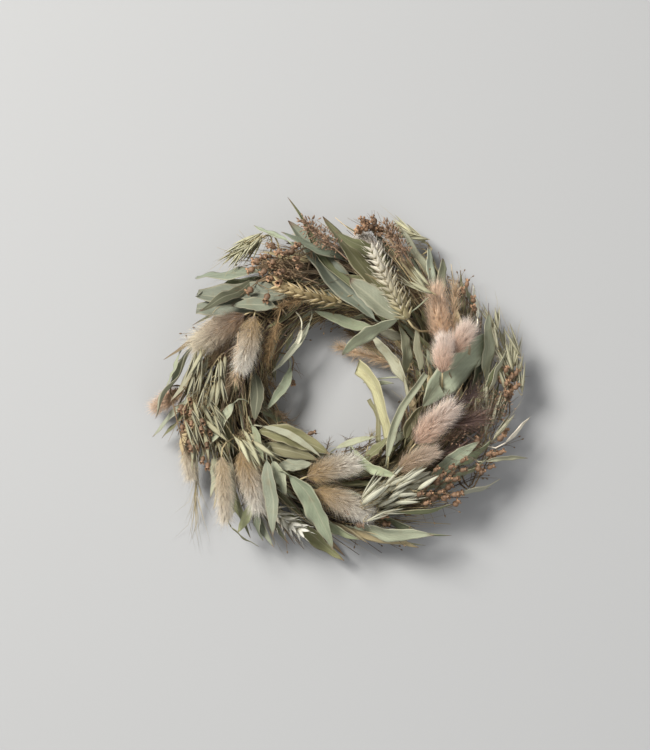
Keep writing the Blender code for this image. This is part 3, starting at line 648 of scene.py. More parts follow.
def settle(pile, piece, stems):
    """The lowest way to lay this piece clear of the others, or None."""
    for rise in LIFTS:
        for way in rooted(lifted(piece, rise), stems):
            if pile.clear(way):
                pile.add(node_of(way), SOLIDS[way.form](way))
                return way
    return None


def planned():
    """Every piece in the order of laying: its node, how often to try it, and what draws it for each try."""
    draw = random.Random(SEED)
    fixed = [*head_plan(), *ear_plan(), *leaf_plan()]
    fixed += spray_plan(draw, OAT_SPRAYS, "oats", "oat", OAT_LENGTH, OAT_WIDTH)
    fixed += spray_plan(draw, POD_SPRAYS, "pods", "pod", POD_LENGTH, POD_WIDTH)
    for piece in sorted(fixed, key=lambda piece: -(STEM_TURN if piece.form == "stem" else piece.width)):
        yield node_of(piece), 1, lambda piece=piece: piece
    for bunch in range(BUNCHES):
        yield from fill_plan(draw, bunch)


def bundles(nodes):
    """The bunch and the slot of each node's stem bundle."""
    places = {name: (bunch, slot) for name, bunch, slot, *_ in EARS}
    for bunch in range(BUNCHES):
        places.update({node_name(slot, bunch): (bunch, slot) for slot in SLOTS})
    return {node: places[node] for node in nodes}


def bundle_solid(bunch, slot):
    """A stem bundle: a tube along its middle line, which thins to its tip."""
    along = (0.0, BUNDLE_FLAT, (BUNDLE_FLAT + BUNDLE_LENGTH) / 2, BUNDLE_LENGTH)
    points = np.array([bundle_point(bunch, slot, step) for step in along])
    middle = (BUNDLE_RADIUS + BUNDLE_TIP) / 2
    return tube(points, np.array([BUNDLE_RADIUS, BUNDLE_RADIUS, middle, BUNDLE_TIP]), BUNDLE_SIDES)


def vine_solid():
    """The ring: a twisted, lobed section carried round, with three knots whose undersides are flat."""
    angle = 2 * np.pi * (np.arange(VINE_STATIONS) + 0.5)[:, None] / VINE_STATIONS
    slant = 2 * np.pi * np.arange(VINE_SIDES) / VINE_SIDES - np.pi / 2
    lobes = VINE_LOBE * np.cos(VINE_STRANDS * slant + VINE_TURNS * angle)
    rings = shell_point(angle, slant, VINE_RADIUS + lobes)
    under = np.abs(np.sin(slant) + 1) < 0.5
    for knot in KNOT_ANGLES:
        here = np.abs(angle - knot) < KNOT_REACH
        rings[..., 2] = np.where(here & under, 0.0, rings[..., 2])
    return loft(rings[:, ::-1], closed=True)


def wire_path():
    """The binding wire: a turn over the start of each bunch, then along the back of the ring to the next."""
    half = math.cos(math.pi / WIRE_POINTS_PER_TURN)
    near = (VINE_RADIUS + VINE_LOBE + SEAT_GAP + WIRE_RADIUS) / half
    far = (SEAT + BUNDLE_RADIUS + SEAT_GAP + WIRE_RADIUS) / half
    points = []
    for bunch in range(BUNCHES):
        for step in range(WIRE_TURNS * WIRE_POINTS_PER_TURN + 1):
            turn = step / WIRE_POINTS_PER_TURN
            slant = WIRE_BACK + 2 * math.pi * turn
            angle = bunch_angle(bunch) + (WIRE_STARTS + WIRE_PITCH * turn) / RING_RADIUS
            reach = far if math.sin(slant) > -0.5 else near
            points.append(shell_point(angle, slant, reach))
        rest = bunch_angle(bunch) + (WIRE_STARTS + WIRE_PITCH * WIRE_TURNS) / RING_RADIUS
        following = bunch_angle(bunch + 1) + WIRE_STARTS / RING_RADIUS
        points.append(shell_point((rest + following) / 2, WIRE_BACK, near))
    return np.array(points)


def wire_rings(points, sides):
    """Rings round the closed path of the wire."""
    path = np.concatenate([points[-1:], points, points[:1]])
    along = unit(path[2:] - path[:-2])
    out = square_to(points - ring_line(points), along)
    return points[:, None] + WIRE_RADIUS * circles(out, np.cross(along, out), sides)


def wire_solid():
    """The binding wire: a thin closed tube through the points of its path."""
    return loft(wire_rings(wire_path(), WIRE_SIDES), closed=True)


def lay_all():
    """The pieces of every node as they settle, and the place of its stem bundle."""
    plan = list(planned())
    places = bundles(sorted({node for node, _, _ in plan}))
    pieces = {node: [] for node in places}
    pile = Pile()
    pile.add("vine_ring", vine_solid())
    pile.add("binding_wire", wire_solid())
    for node, place in places.items():
        pile.add(node, bundle_solid(*place))
    stems = {}
    for _, tries, again in plan:
        found = next(filter(None, (settle(pile, again(), stems) for _ in range(tries))), None)
        if found:
            pieces[node_of(found)].append(found)
        if found and found.form == "stem":
            stems[node_of(found)] = found
    return {node: (places[node], parts) for node, parts in pieces.items() if parts}


# Drawing: one mesh for each node.

COLOURS = {
    "pale": (0.38, 0.39, 0.275),
    "sage": (0.31, 0.33, 0.21),
    "grey": (0.29, 0.31, 0.225),
    "blue": (0.19, 0.215, 0.155),
    "olive": (0.20, 0.20, 0.10),
    "dark": (0.10, 0.105, 0.06),
    "mist": (0.56, 0.59, 0.44),
    "rust": (0.26, 0.165, 0.105),
    "lime": (0.50, 0.50, 0.29),
    "straw": (0.50, 0.41, 0.23),
    "cream": (1.0, 0.93, 0.78),
    "rosy": (0.44, 0.38, 0.28),
    "umber": (0.22, 0.15, 0.085),
    "tan": (0.78, 0.58, 0.38),
    "gold": (0.78, 0.60, 0.32),
    "husk": (1.0, 0.98, 0.86),
    "oat": (0.56, 0.54, 0.35),
    "copper": (0.21, 0.125, 0.072),
    "bark": (0.10, 0.062, 0.036),
    "mauve": (0.13, 0.085, 0.075),
    "bronze": (0.42, 0.28, 0.14),
    "plum": (0.27, 0.175, 0.145),
    "wire": (0.10, 0.095, 0.08),
}

# Directions that no piece runs along. The sides of a tube are set off from one of them.
ASKEW = (0.36, 0.48, 0.8)
ASLANT = (0.31, 0.23, 0.92)

LOOKS_SEED = 5
# Painted shade in the body: colours grow darker from DEEP_END in to DEEP_START off the ring's centre line, by
# DEEP_SHADE at most.
DEEP_START = 10.0
DEEP_END = 29.0
DEEP_SHADE = 0.66
LEAF_SKIN = 0.32
LEAF_COLUMNS = 9
LEAF_STATIONS = 26
GRASS_STATIONS = 12
GRASS_COLUMNS = 4
NEEDLE_TAPER = 0.7
STALK_POINTS = 9
SHOOT_POINTS = 5


def chance(name):
    """Random draws of a node's own, the same each run."""
    return np.random.default_rng([LOOKS_SEED, zlib.crc32(name.encode())])


def there_and_back(values):
    """Values across an upper face from rim to rim, and then the same across the lower face back."""
    return np.concatenate([values, values[::-1]])


def tubes(rings, closed=False):
    """Points, quads and triangles of many tubes at once, from rings (tube, station, side) of points."""
    count, stations, sides, _ = rings.shape
    spans = stations if closed else stations - 1
    i, j = (grid.ravel() for grid in np.meshgrid(np.arange(spans), np.arange(sides), indexing="ij"))
    after, beside = (i + 1) % stations, (j + 1) % sides
    quads = np.stack([i * sides + j, i * sides + beside, after * sides + beside, after * sides + j], 1)
    fan = np.arange(1, 1 if closed else sides - 1)
    start = np.stack([0 * fan, fan + 1, fan], 1)
    end = np.stack([0 * fan, fan, fan + 1], 1) + (stations - 1) * sides
    offset = np.arange(count)[:, None, None] * stations * sides
    ends = np.concatenate([start, end]) + offset
    return rings.reshape(-1, 3), (quads + offset).reshape(-1, 4), ends.reshape(-1, 3)


def painted_depth_shade(points):
    """Painted shade by depth: how light a point's colour is made, 1 from DEEP_END off the ring's centre line
    on, and 1 - DEEP_SHADE close to it.
    """
    reach = np.hypot(np.hypot(points[:, 0], points[:, 1]) - RING_RADIUS, points[:, 2] - RING_HEIGHT)
    return 1 - DEEP_SHADE * (1 - np.clip((reach - DEEP_START) / (DEEP_END - DEEP_START), 0, 1))[:, None]


class Sheaf:
    """All that one object is made of.

    Each point keeps its marks (how far along its piece, how far across, and the piece's own draw) and its
    tone, the colour that its material starts from, darkened near the ring by painted shade.
    """

    def __init__(self):
        self.points, self.marks, self.tones, self.quads, self.tris, self.finishes = [], [], [], [], [], []
        self.size = 0

    def add(self, surface, shape, finish, tone, along=None, across=None, tint=0.5):
        """Adds surfaces whose points are laid out as (tube, station, side)."""
        points, quads, tris = surface
        count, stations, sides = shape
        along = np.linspace(0, 1, stations)[None, :, None] if along is None else along
        across = np.linspace(-1, 1, sides) if across is None else across
        tint = np.asarray(tint, float).reshape(-1, 1, 1)
        marks = [np.broadcast_to(part, shape) for part in (along, across, tint)]
        tone = np.asarray(tone, float)
        tone = tone.reshape((1,) * (4 - tone.ndim) + tone.shape) if tone.ndim != 2 else tone[:, None, None]
        self.points.append(points)
        self.marks.append(np.stack(marks, -1).reshape(-1, 3))
        tone = np.broadcast_to(tone, (*shape, 3)).reshape(-1, 3)
        # All but the vine and the wire get painted shade, which darkens them close to the ring's centre line.
        self.tones.append(tone if finish in ("vine", "wire") else tone * painted_depth_shade(points))
        self.quads.append(quads + self.size)
        self.tris.append(tris + self.size)
        self.finishes.append((finish, len(quads), len(tris)))
        self.size += len(points)

    def tubes(self, rings, finish, tone, **marks):
        self.add(tubes(rings), rings.shape[:3], finish, tone, **marks)

    def needles(self, points, radius, finish, tone, tint=0.5):
        """Hairs through a root, a middle and a tip: three sides that narrow to a point."""
        count = len(points)
        along = unit(points[:, 2] - points[:, 0])
        across = unit(np.cross(along, ASKEW))
        circle = circles(across, np.cross(along, across), 3)
        middle = points[:, 1:2] + NEEDLE_TAPER * radius * circle
        rings = [points[:, :1] + radius * circle, middle, points[:, 2:]]
        j = np.arange(3)
        k = (j + 1) % 3
        quads = np.stack([j, k, k + 3, j + 3], 1)
        tris = np.concatenate([[(0, 2, 1)], np.stack([j + 3, k + 3, 0 * j + 6], 1)])
        offset = 7 * np.arange(count)[:, None, None]
        surface = (
            np.concatenate(rings, axis=1).reshape(-1, 3),
            (quads + offset).reshape(-1, 4),
            (tris + offset).reshape(-1, 3),
        )
        along = np.array([0, 0, 0, 0.5, 0.5, 0.5, 1.0])[None, :, None]
        self.add(surface, (count, 7, 1), finish, tone, along=along, across=0.0, tint=tint)

    def finish(self, name, shift):
        """The object: all surfaces in one mesh, moved into the frame and scaled to metres."""
        quads, tris = np.concatenate(self.quads), np.concatenate(self.tris)
        mesh = bpy.data.meshes.new(name)
        points = np.concatenate(self.points) + shift
        points[:, 2] = np.maximum(points[:, 2], 0.0)
        points = points * MM
        mesh.vertices.add(len(points))
        mesh.vertices.foreach_set("co", points.ravel())
        mesh.loops.add(quads.size + tris.size)
        mesh.loops.foreach_set("vertex_index", np.concatenate([quads.ravel(), tris.ravel()]))
        totals = np.concatenate([np.full(len(quads), 4), np.full(len(tris), 3)])
        mesh.polygons.add(len(totals))
        mesh.polygons.foreach_set("loop_start", np.concatenate([[0], np.cumsum(totals)[:-1]]))
        finishes, quad_counts, tri_counts = zip(*self.finishes, strict=True)
        names = list(dict.fromkeys(finishes))
        slots = [names.index(finish) for finish in finishes]
        slots = np.concatenate([np.repeat(slots, quad_counts), np.repeat(slots, tri_counts)])
        mesh.polygons.foreach_set("material_index", slots)
        mesh.polygons.foreach_set("use_smooth", np.ones(len(totals), bool))
        mesh.update(calc_edges=True)
        marks = mesh.attributes.new("marks", "FLOAT_VECTOR", "POINT")
        marks.data.foreach_set("vector", np.concatenate(self.marks).ravel())
        tones = mesh.attributes.new("tone", "FLOAT_COLOR", "POINT")
        colour = np.concatenate(self.tones)
        tones.data.foreach_set("color", np.column_stack([colour, np.ones(len(colour))]).ravel())
        for finish in names:
            mesh.materials.append(finish_of(finish))
        made = bpy.data.objects.new(name, mesh)
        bpy.context.scene.collection.objects.link(made)
        return made


def rings_round(paths, radii, sides):
    """Rings round many paths: each point plus the radius times (across cos turn + beside sin turn)."""
    along = unit(np.gradient(paths, axis=-2))
    across = unit(np.cross(along, ASLANT))
    radii = np.broadcast_to(radii, paths.shape[:-1])[..., None, None]
    return paths[..., None, :] + radii * circles(across, np.cross(along, across), sides)


# Outlines of leaves: the width at share t of the length, as a share of the full width.
OUTLINES = {
    "willow": lambda t: np.maximum(0.03, np.sin(np.pi * t**0.8) ** 0.85),
    "broad": lambda t: np.maximum(0.04, np.sin(np.pi * t**0.95) ** 0.75),
    "round": lambda t: np.maximum(0.10, np.sin(np.pi * t**0.9) ** 0.5),
    "torn": lambda t: np.maximum(0.06, np.sin(np.pi * (0.87 * t) ** 0.8) ** 0.7),
    "strap": lambda t: np.minimum(1.0, 0.4 + 3 * t) * (1.0 - 0.12 * t),
    "reed": lambda t: np.minimum(1.0, 0.4 + 3 * t) * (1.0 - 0.3 * t),
}

# Where an outline has its own value: how brown its tip grows (1 is the most), how deep the tip is torn, how
# wide it is beside the solid's leaf, and how much its rims wave.
GREEN_TO = {"torn": 0.92, "strap": 0.9, "reed": 0.92}
TEAR = {"torn": 0.10, "strap": 0.012}
FULL = {"torn": 1.5, "strap": 1.9, "reed": 1.0, "broad": 1.2}
WAVY = {"torn": 1.7, "strap": 0.4}
FULL_LEAF = 1.12
UNDERSIDE = 1.18
FILL_STYLES = ("sage", "olive", "grey", "pale", "dark", "straw", "olive")


def leaf_rings(piece, rng, outline, stations, columns):
    """A leaf's section is a thin strip, bent as cup v squared and creased as fold |v|, whose rims wave as
    sin(turns t + phase) |v|^1.5.

    The strip follows the piece's arc, v runs from rim to rim, and a torn tip is cut back by a different share
    of the length in each column. The rings hold the upper face from rim to rim and then the lower one back.
    """
    t = np.linspace(0, 1, stations) ** 0.9
    points = curve(piece, t)
    across, face = frames(points, piece.roll + piece.twist * t)
    reach = np.linalg.norm(piece.tip - piece.base)
    sway = rng.normal(0, 0.018, 2) * reach
    phase = rng.uniform(0, 2 * np.pi, 4)
    points = points + across * (sway[0] * np.sin(np.pi * t) * np.sin(6 * t + phase[2]))[:, None]
    points = points + face * (sway[1] * np.sin(np.pi * t) * np.sin(8 * t + phase[3]))[:, None]
    v = np.linspace(1, -1, columns)
    width = piece.width / 2 * FULL.get(outline, FULL_LEAF) * OUTLINES[outline](t)
    cup, fold, wave = rng.uniform(-0.15, 0.25), rng.uniform(0.0, 0.4), rng.uniform(0.08, 0.24)
    wave = wave * WAVY.get(outline, 1.0)
    turns = rng.uniform(8, 16)
    swing = np.where(
        v > 0,
        np.sin(turns * t[:, None] + phase[0]),
        np.sin(1.3 * turns * t[:, None] + phase[1]),
    )
    fade = np.sin(np.pi * np.clip(t, 0.02, 1)) ** 0.5
    rims = wave * np.abs(v) ** 1.5 * swing * fade[:, None]
    rise = width[:, None] * (cup * (v**2 - 0.3) + fold * (np.abs(v) - 0.4) + rims)
    ragged = 1 + 0.05 * np.sin(31 * t + phase[0])[:, None] * np.sign(v)
    cut = rng.uniform(0, 1, columns)
    cut = TEAR.get(outline, 0.0) * (cut + np.roll(cut, 1)) * reach / 1.4
    along = unit(np.gradient(points, axis=0))
    middle = points[:, None] + across[:, None] * (width[:, None] * v * ragged)[..., None]
    middle = middle + face[:, None] * rise[..., None] - along[:, None] * (cut * t[:, None] ** 6)[..., None]
    skin = face[:, None] * np.minimum(LEAF_SKIN, width[:, None, None]) / 2
    return np.concatenate([middle + skin, (middle - skin)[:, ::-1]], axis=1)[None], t, v


def draw_leaf(sheaf, piece, rng):
    """A leaf of the outline and the colour that its style names, paler on its underside, on its stalk."""
    words = (piece.style or FILL_STYLES[rng.integers(len(FILL_STYLES))]).split()
    outline = words[0] if len(words) > 1 else "willow"
    rings, t, v = leaf_rings(piece, rng, outline, LEAF_STATIONS, LEAF_COLUMNS)
    tone = np.array(COLOURS[words[-1]]) * rng.uniform(0.85, 1.12) * rng.uniform(0.95, 1.05, 3)
    both = np.repeat([1.0, UNDERSIDE], len(v))
    green = t * GREEN_TO.get(outline, 1.0)
    sheaf.tubes(
        rings, "leaf", tone * both[None, None, :, None],
        along=green[None, :, None], across=there_and_back(v), tint=rng.uniform(),
    )
    draw_stalk(sheaf, piece, rng, 0.75, 0.5, tone * 0.9 + np.array(COLOURS["umber"]) * 0.2)


def draw_stalk(sheaf, piece, rng, thick, thin, tone):
    """The stalk from the bundle to where the piece starts."""
    share = np.linspace(0, 1, STALK_POINTS)
    path = stalk(piece, share)
    sheaf.tubes(rings_round(path[None], thick + (thin - thick) * share, 5), "stem", tone, tint=rng.uniform())


# Soft heads.

# Colours of the heads at the base and at the tip.
HEAD_TONES = {
    "amber": ((0.32, 0.17, 0.06), (0.90, 0.80, 0.60)),
    "cream": ((0.56, 0.38, 0.16), (1.0, 0.95, 0.84)),
    "tan": ((0.86, 0.56, 0.32), (0.88, 0.63, 0.43)),
    "pale": ((0.80, 0.64, 0.40), (0.98, 0.88, 0.71)),
    "pink": ((0.92, 0.63, 0.45), (1.0, 0.84, 0.73)),
    "lilac": ((0.66, 0.46, 0.27), (0.86, 0.68, 0.52)),
    "grey": ((0.48, 0.38, 0.28), (0.88, 0.82, 0.74)),
}
HAIRS = 2950
HAIR_WIDTH = 17
FLUFF = 1.12
HEAD_AWNS = 110
AXIS_POINTS = 24
CORE_SIDES = 10
CORE_SHARE = 0.45
HAIR_RADIUS = 0.085


def head_axis(piece, t):
    """The middle line of a head at shares t, with two vectors across it and its oval radius there."""
    points = curve(piece, np.linspace(0, 1, AXIS_POINTS))
    across, face = frames(points, 0.0)
    at = t * (AXIS_POINTS - 1)
    low = np.minimum(at.astype(int), AXIS_POINTS - 2)
    mix = (at - low)[:, None]
    path, side, up = (part[low] * (1 - mix) + part[low + 1] * mix for part in (points, across, face))
    oval = piece.width / 2 * np.maximum(0.12, np.sin(np.pi * t**0.8) ** 0.65)
    return path, unit(side), unit(up), oval


def draw_tail(sheaf, piece, rng):
    """A soft head: hairs rooted on a slim oval core, HAIRS of them on a head of HAIR_WIDTH.

    Each leaves at a slant between forward and outward, and bends forward, so that its tip lies near the oval
    outline or a little past it.
    """
    low, high = np.array(HEAD_TONES[piece.style]) * rng.uniform(0.95, 1.05)
    t = np.linspace(0.0, 1.0, 12)
    path, side, up, oval = head_axis(piece, t)
    core = path[:, None] + circles(side, up, CORE_SIDES) * (CORE_SHARE * oval)[:, None, None]
    sheaf.tubes(core[None], "tail", low * 0.6, along=0.3)
    count = int(HAIRS * (piece.width / HAIR_WIDTH) ** 0.8)
    t = rng.beta(1.25, 1.1, count) * 0.97 + 0.005
    turn = rng.uniform(0, 2 * np.pi, count)
    path, side, up, oval = head_axis(piece, t)
    out = turned(side, up, turn)
    forward = unit(piece.tip - piece.base)
    slant = (0.3 + 0.95 * rng.beta(1.6, 1.6, count))[:, None]
    length = (rng.uniform(0.45, 1.0, count) ** 1.5 * (2.8 + piece.width * 0.56) * FLUFF)[:, None]
    root = path + out * (CORE_SHARE * oval * rng.uniform(0.7, 1.0, count))[:, None]
    away = unit(forward * np.cos(slant) + out * np.sin(slant) + rng.normal(0, 0.12, (count, 3)))
    middle = root + away * length * 0.5
    tip = middle + unit(away + forward * 0.45) * length * 0.5
    ripe = np.clip((t - 0.15 + rng.normal(0, 0.08, count)) / 0.65, 0, 1)[:, None]
    tones = low * (1 - ripe) + high * ripe
    hairs = np.stack([root, middle, tip], 1)
    sheaf.needles(hairs, HAIR_RADIUS, "tail", tones, tint=rng.uniform(0, 1, count))
    few = rng.choice(count, HEAD_AWNS, replace=False)
    far = tip[few] + unit(away[few] + forward * 0.8) * length[few] * rng.uniform(0.3, 0.8, (HEAD_AWNS, 1))
    sheaf.needles(np.stack([middle[few], tip[few], far], 1), HAIR_RADIUS * 0.6, "tail", low * 0.55)
    draw_stalk(sheaf, piece, rng, 0.5, 0.6, COLOURS["straw"])


# Scales, as an oat and an ear have.

SCALE_STATIONS = 8
SCALE_HALF = 5
SCALE_ARC = np.radians(70)
SCALE_INNER = 0.78


def scale_rings(base, along, out, length, width, curl):
    """Boat-shaped scales, width sin(pi t^0.7)^0.8 wide at share t of their length.

    Across, a scale follows an arc of 70 degrees either way round its own middle line, with its back outward,
    and curl bends its tip. The face inside the arc is SCALE_INNER as wide as the one outside.
    """
    t = np.linspace(0, 1, SCALE_STATIONS)[:, None]
    half = width[:, None] / 2 * np.maximum(0.05, np.sin(np.pi * t.ravel() ** 0.7) ** 0.8)
    middle = base[:, None] + length[:, None, None] * (t * along[:, None] + curl * t**2 * out[:, None])
    beside = np.cross(along, out)
    arc = there_and_back(SCALE_ARC * np.linspace(-1, 1, SCALE_HALF))
    depth = half[..., None] * np.repeat([1.0, SCALE_INNER], SCALE_HALF)
    return (
        middle[:, :, None]
        + depth[..., None] * (np.cos(arc)[:, None] * out[:, None, None] * 0.9)
        + depth[..., None] * (np.sin(arc)[:, None] * beside[:, None, None])
        - half[..., None, None] * 0.5 * out[:, None, None]
    )


def add_scales(sheaf, rng, base, along, out, length, width, curl, tone):
    """Scales, each a little darker or lighter than the tone."""
    rings = scale_rings(base, along, out, length, width, curl)
    across = there_and_back(np.linspace(-1, 1, SCALE_HALF))
    shade = np.asarray(tone) * rng.uniform(0.8, 1.15, (len(base), 1))
    sheaf.tubes(rings, "husk", shade, across=across, tint=rng.uniform(0, 1, len(base)))


def seed_frame(piece):
    """The base, direction, outer side and length of a seed."""
    along = unit(piece.tip - piece.base)
    out = outward(((piece.base + piece.tip) / 2)[None])[0]
    out = unit(out - along * (out @ along))
    return piece.base, along, out, np.linalg.norm(piece.tip - piece.base)


# The colours of the oats in the bunches where they are darker or paler than the rest.
OAT_TONES = {
    4: (0.39, 0.37, 0.24),
    5: (0.36, 0.34, 0.21),
    8: (0.62, 0.61, 0.47),
    10: (0.50, 0.48, 0.33),
    11: (0.47, 0.45, 0.30),
}


def draw_oat(sheaf, piece, rng):
    """A spikelet: two husks that gape a little, the narrow floret between them and its awn."""
    base, along, out, length = seed_frame(piece)
    side = np.cross(along, out)
    turn = piece.roll + rng.uniform(-0.3, 0.3)
    out = out * math.cos(turn) + side * math.sin(turn)
    gape = rng.uniform(0.08, 0.17)
    backs = np.array([out, -out, out])
    lines = unit(np.array([along + gape * out, along - gape * out, along + 0.03 * out]))
    lengths = length * np.array([1.0, 0.96, 0.86])
    widths = piece.width * np.array([1.0, 0.95, 0.62])
    backs = square_to(backs, lines)
    tone = np.array(OAT_TONES.get(piece.bunch, COLOURS["oat"])) * rng.uniform(0.9, 1.1)
    add_scales(sheaf, rng, base + 0 * backs, lines, backs, lengths, widths, -0.03, tone)
    start = base + along * length * 0.7
    away = unit(along + rng.normal(0, 0.2, 3))
    bend = start + along * length * 0.55
    awn = np.array([start, bend, bend + away * length * 0.5])
    sheaf.needles(awn[None], 0.14, "stem", COLOURS["straw"])
    draw_stalk(sheaf, piece, rng, 0.28, 0.25, COLOURS["straw"])


# A capsule's profile: how far along it is, and how wide as a share of the full width. The last three points
# are inside.
POD_PROFILE = (
    (0.0, 0.16), (0.06, 0.48), (0.22, 0.82), (0.42, 0.94), (0.60, 0.80), (0.72, 0.60),
    (0.80, 0.60), (1.02, 1.06), (0.97, 0.84), (0.78, 0.48), (0.5, 0.30),
)
POD_SIDES = 10


def add_pod(sheaf, rng, base, along, length, width, tone):
    """A capsule turned from its profile, with five ribs, and a crown of five points round its mouth, darkened
    inside by painted shade.
    """
    share, wide = np.array(POD_PROFILE).T
    turn = 2 * np.pi * np.arange(POD_SIDES) / POD_SIDES
    across = unit(np.cross(along, ASKEW))
    crown = np.cos(5 * turn)
    wide = wide[:, None] * (1 + 0.07 * crown * (share[:, None] < 0.95))
    reach = share[:, None] + 0.13 * crown * (share[:, None] > 0.93)
    ring = turned(across, np.cross(along, across), turn)
    points = base + along * (length * reach)[..., None] + ring * (width / 2 * wide)[..., None]
    dark = np.where(share > 0.9, 2.3, 0.9)
    # A pale crown rim; the two deepest points inside the mouth get painted shade, a near black.
    dark[-2:] = 0.15
    tone = np.asarray(tone) * dark[None, :, None, None] * rng.uniform(0.7, 1.4)
    sheaf.tubes(points[None], "pod", tone, tint=rng.uniform())


def draw_pod(sheaf, piece, rng):
    """A copper-brown capsule on its stalk."""
    base, along, _, length = seed_frame(piece)
    add_pod(sheaf, rng, base, along, length, piece.width, COLOURS["copper"])
    draw_stalk(sheaf, piece, rng, 0.32, 0.26, COLOURS["umber"])


STEM_SHOOTS = 16


def draw_stem(sheaf, piece, rng):
    """The stem of a spray, which thins to its tip, and its thin side shoots."""
    share = np.linspace(0, 1, STALK_POINTS)
    path = np.concatenate([stalk(piece, share[:-1]), curve(piece, share)])
    radius = np.linspace(0.85, 0.3, len(path))
    tone = COLOURS["umber"] if "pods" in (piece.slot, piece.style) else COLOURS["straw"]
    sheaf.tubes(rings_round(path[None], radius, 6), "stem", tone, tint=rng.uniform())
    start = path[rng.integers(6, len(path), STEM_SHOOTS)]
    growth = unit(piece.tip - piece.base)
    shoots = shoot_paths(rng, start, growth, (8, 17), 0.55)
    rings = rings_round(shoots, np.linspace(0.2, 0.1, SHOOT_POINTS), 3)
    sheaf.tubes(rings, "stem", tone, tint=rng.uniform(0, 1, STEM_SHOOTS))


def shoot_paths(rng, start, growth, lengths, spread):
    """Thin shoots that leave their starts along the growth, turned aside by a draw and curved a little."""
    count = len(start)
    away = unit(growth + rng.normal(0, spread, (count, 3)))
    bend = rng.normal(0, 0.25, (count, 3))
    s = np.linspace(0, 1, SHOOT_POINTS)[None, :, None]
    length = rng.uniform(*lengths, count)[:, None, None]
    return start[:, None] + length * (away[:, None] * s + bend[:, None] * s**2 * 0.5)


# Ears.

EAR_KINDS = {
    "cream": dict(rows=21, length=10.5, width=4.1, slant=0.62, curl=0.2, awn=6.0, foot=(0.56, 0.48, 0.26)),
    "gold": dict(rows=15, length=11.0, width=4.8, slant=0.46, curl=0.04, awn=5.0, foot=(0.36, 0.27, 0.12)),
    "husk": dict(rows=9, length=13.0, width=4.4, slant=0.6, curl=0.08, awn=6.0, foot=(0.6, 0.55, 0.40)),
}


def draw_ear(sheaf, piece, rng):
    """An ear: rows of scales up a thin axis, three on each side in turn, each with a short awn."""
    kind = EAR_KINDS[piece.style]
    tone = np.array(COLOURS[piece.style])
    rows = np.repeat(np.linspace(0.0, 0.88, kind["rows"]), 3)
    path, side, up, _ = head_axis(piece, rows)
    turn = np.pi / 2 + np.pi * (np.arange(len(rows)) // 3 % 2) + np.tile([-1.15, 0.0, 1.15], kind["rows"])
    turn = turn + rng.normal(0, 0.12, len(rows))
    out = turned(side, up, turn)
    forward = unit(piece.tip - piece.base)
    slant = kind["slant"] * rng.uniform(0.75, 1.25, len(rows))[:, None]
    along = unit(forward * np.cos(slant) + out * np.sin(slant))
    back = square_to(out, along)
    length = kind["length"] * rng.uniform(0.85, 1.1, len(rows)) * (1 - 0.25 * rows)
    width = kind["width"] * rng.uniform(0.85, 1.1, len(rows))
    base = path + out * piece.width * 0.10
    share = np.clip(1.1 - 1.4 * rows, 0, 1)[:, None]
    tones = tone * (1 - share) + np.array(kind["foot"]) * share
    add_scales(sheaf, rng, base, along, back, length, width, kind["curl"], tones)
    tip = base + along * length[:, None] * 0.95
    middle = tip + along * kind["awn"] * 0.5
    end = middle + unit(along + forward * 0.3 + rng.normal(0, 0.15, along.shape)) * kind["awn"] * 0.5
    sheaf.needles(np.stack([tip, middle, end], 1), 0.16, "husk", tone)
    axis = curve(piece, np.linspace(0, 1, 10))
    sheaf.tubes(rings_round(axis[None], np.linspace(1.0, 0.4, 10), 6), "stem", tone * 0.7)
    draw_stalk(sheaf, piece, rng, 0.8, 0.8, COLOURS["straw"])


DRAW = {
    "leaf": draw_leaf,
    "tail": draw_tail,
    "ear": draw_ear,
    "oat": draw_oat,
    "pod": draw_pod,
    "stem": draw_stem,
}

BUNDLE_STEMS = 7


def draw_bundle(sheaf, bunch, slot, rng):
    """A stem bundle: stems round its middle line, which wind a quarter turn along it and draw together."""
    along = np.linspace(-2, BUNDLE_LENGTH + 3, 12)
    middle = np.array([bundle_point(bunch, slot, step) for step in along])
    across, face = frames(middle, 0.0)
    spread = np.interp(along, [0, BUNDLE_FLAT, BUNDLE_LENGTH], [1.75, 1.75, 0.8])
    turn = 2 * np.pi * np.arange(BUNDLE_STEMS)[:, None] / BUNDLE_STEMS + along * 0.035
    paths = middle + turned(across, face, turn) * spread[:, None]
    tones = np.array([COLOURS["umber"], COLOURS["straw"], COLOURS["bark"]])[rng.integers(0, 3, BUNDLE_STEMS)]
    sheaf.tubes(rings_round(paths, 0.72, 5), "stem", tones, tint=rng.uniform(0, 1, BUNDLE_STEMS))


# What fills the body of each bunch: too thin and too many for solids.

LIMIT_OUT = 47.0
LIMIT_IN = 33.0
LIMIT_FRONT = 36.0
TWIG_SHOOTS = 4
SAMPLES = 12
MOST_ABOVE = 0.1
ROOF_WIDTH = 7.0
GRASS_STYLES = ("olive", "dark", "umber", "sage", "straw", "umber", "olive", "grey")
STEM_STYLES = ("umber", "bark", "straw", "umber", "bark", "gold", "mauve")

# The paths of the filling: how many are kept of how many tried, between which slants in degrees, how far from
# the ring's centre line they start, at which share of the limit they end, how far they run, and their points.
Sweep = namedtuple("Sweep", "count tries slants starts ends spans steps")
BLADES = Sweep(34, 68, (0, 180), (7, 12), (0.5, 0.98), (34, 58), 6)
GRASS = Sweep(36, 79, (5, 175), (8, 14), (0.6, 1.0), (45, 85), 8)
TWIGS = Sweep(13, 28, (10, 170), (10, 16), (0.75, 1.0), (40, 62), 7)
AWNS = Sweep(110, 242, (15, 165), (14, 26), (0.8, 1.08), (28, 50), 3)
SWEEP_FROM = (-0.2, 0.95)
SWEEP_TURN = 0.22
SWEEP_SIDES = (math.radians(-4), math.radians(186))
SWEEP_LOWEST = 1.5


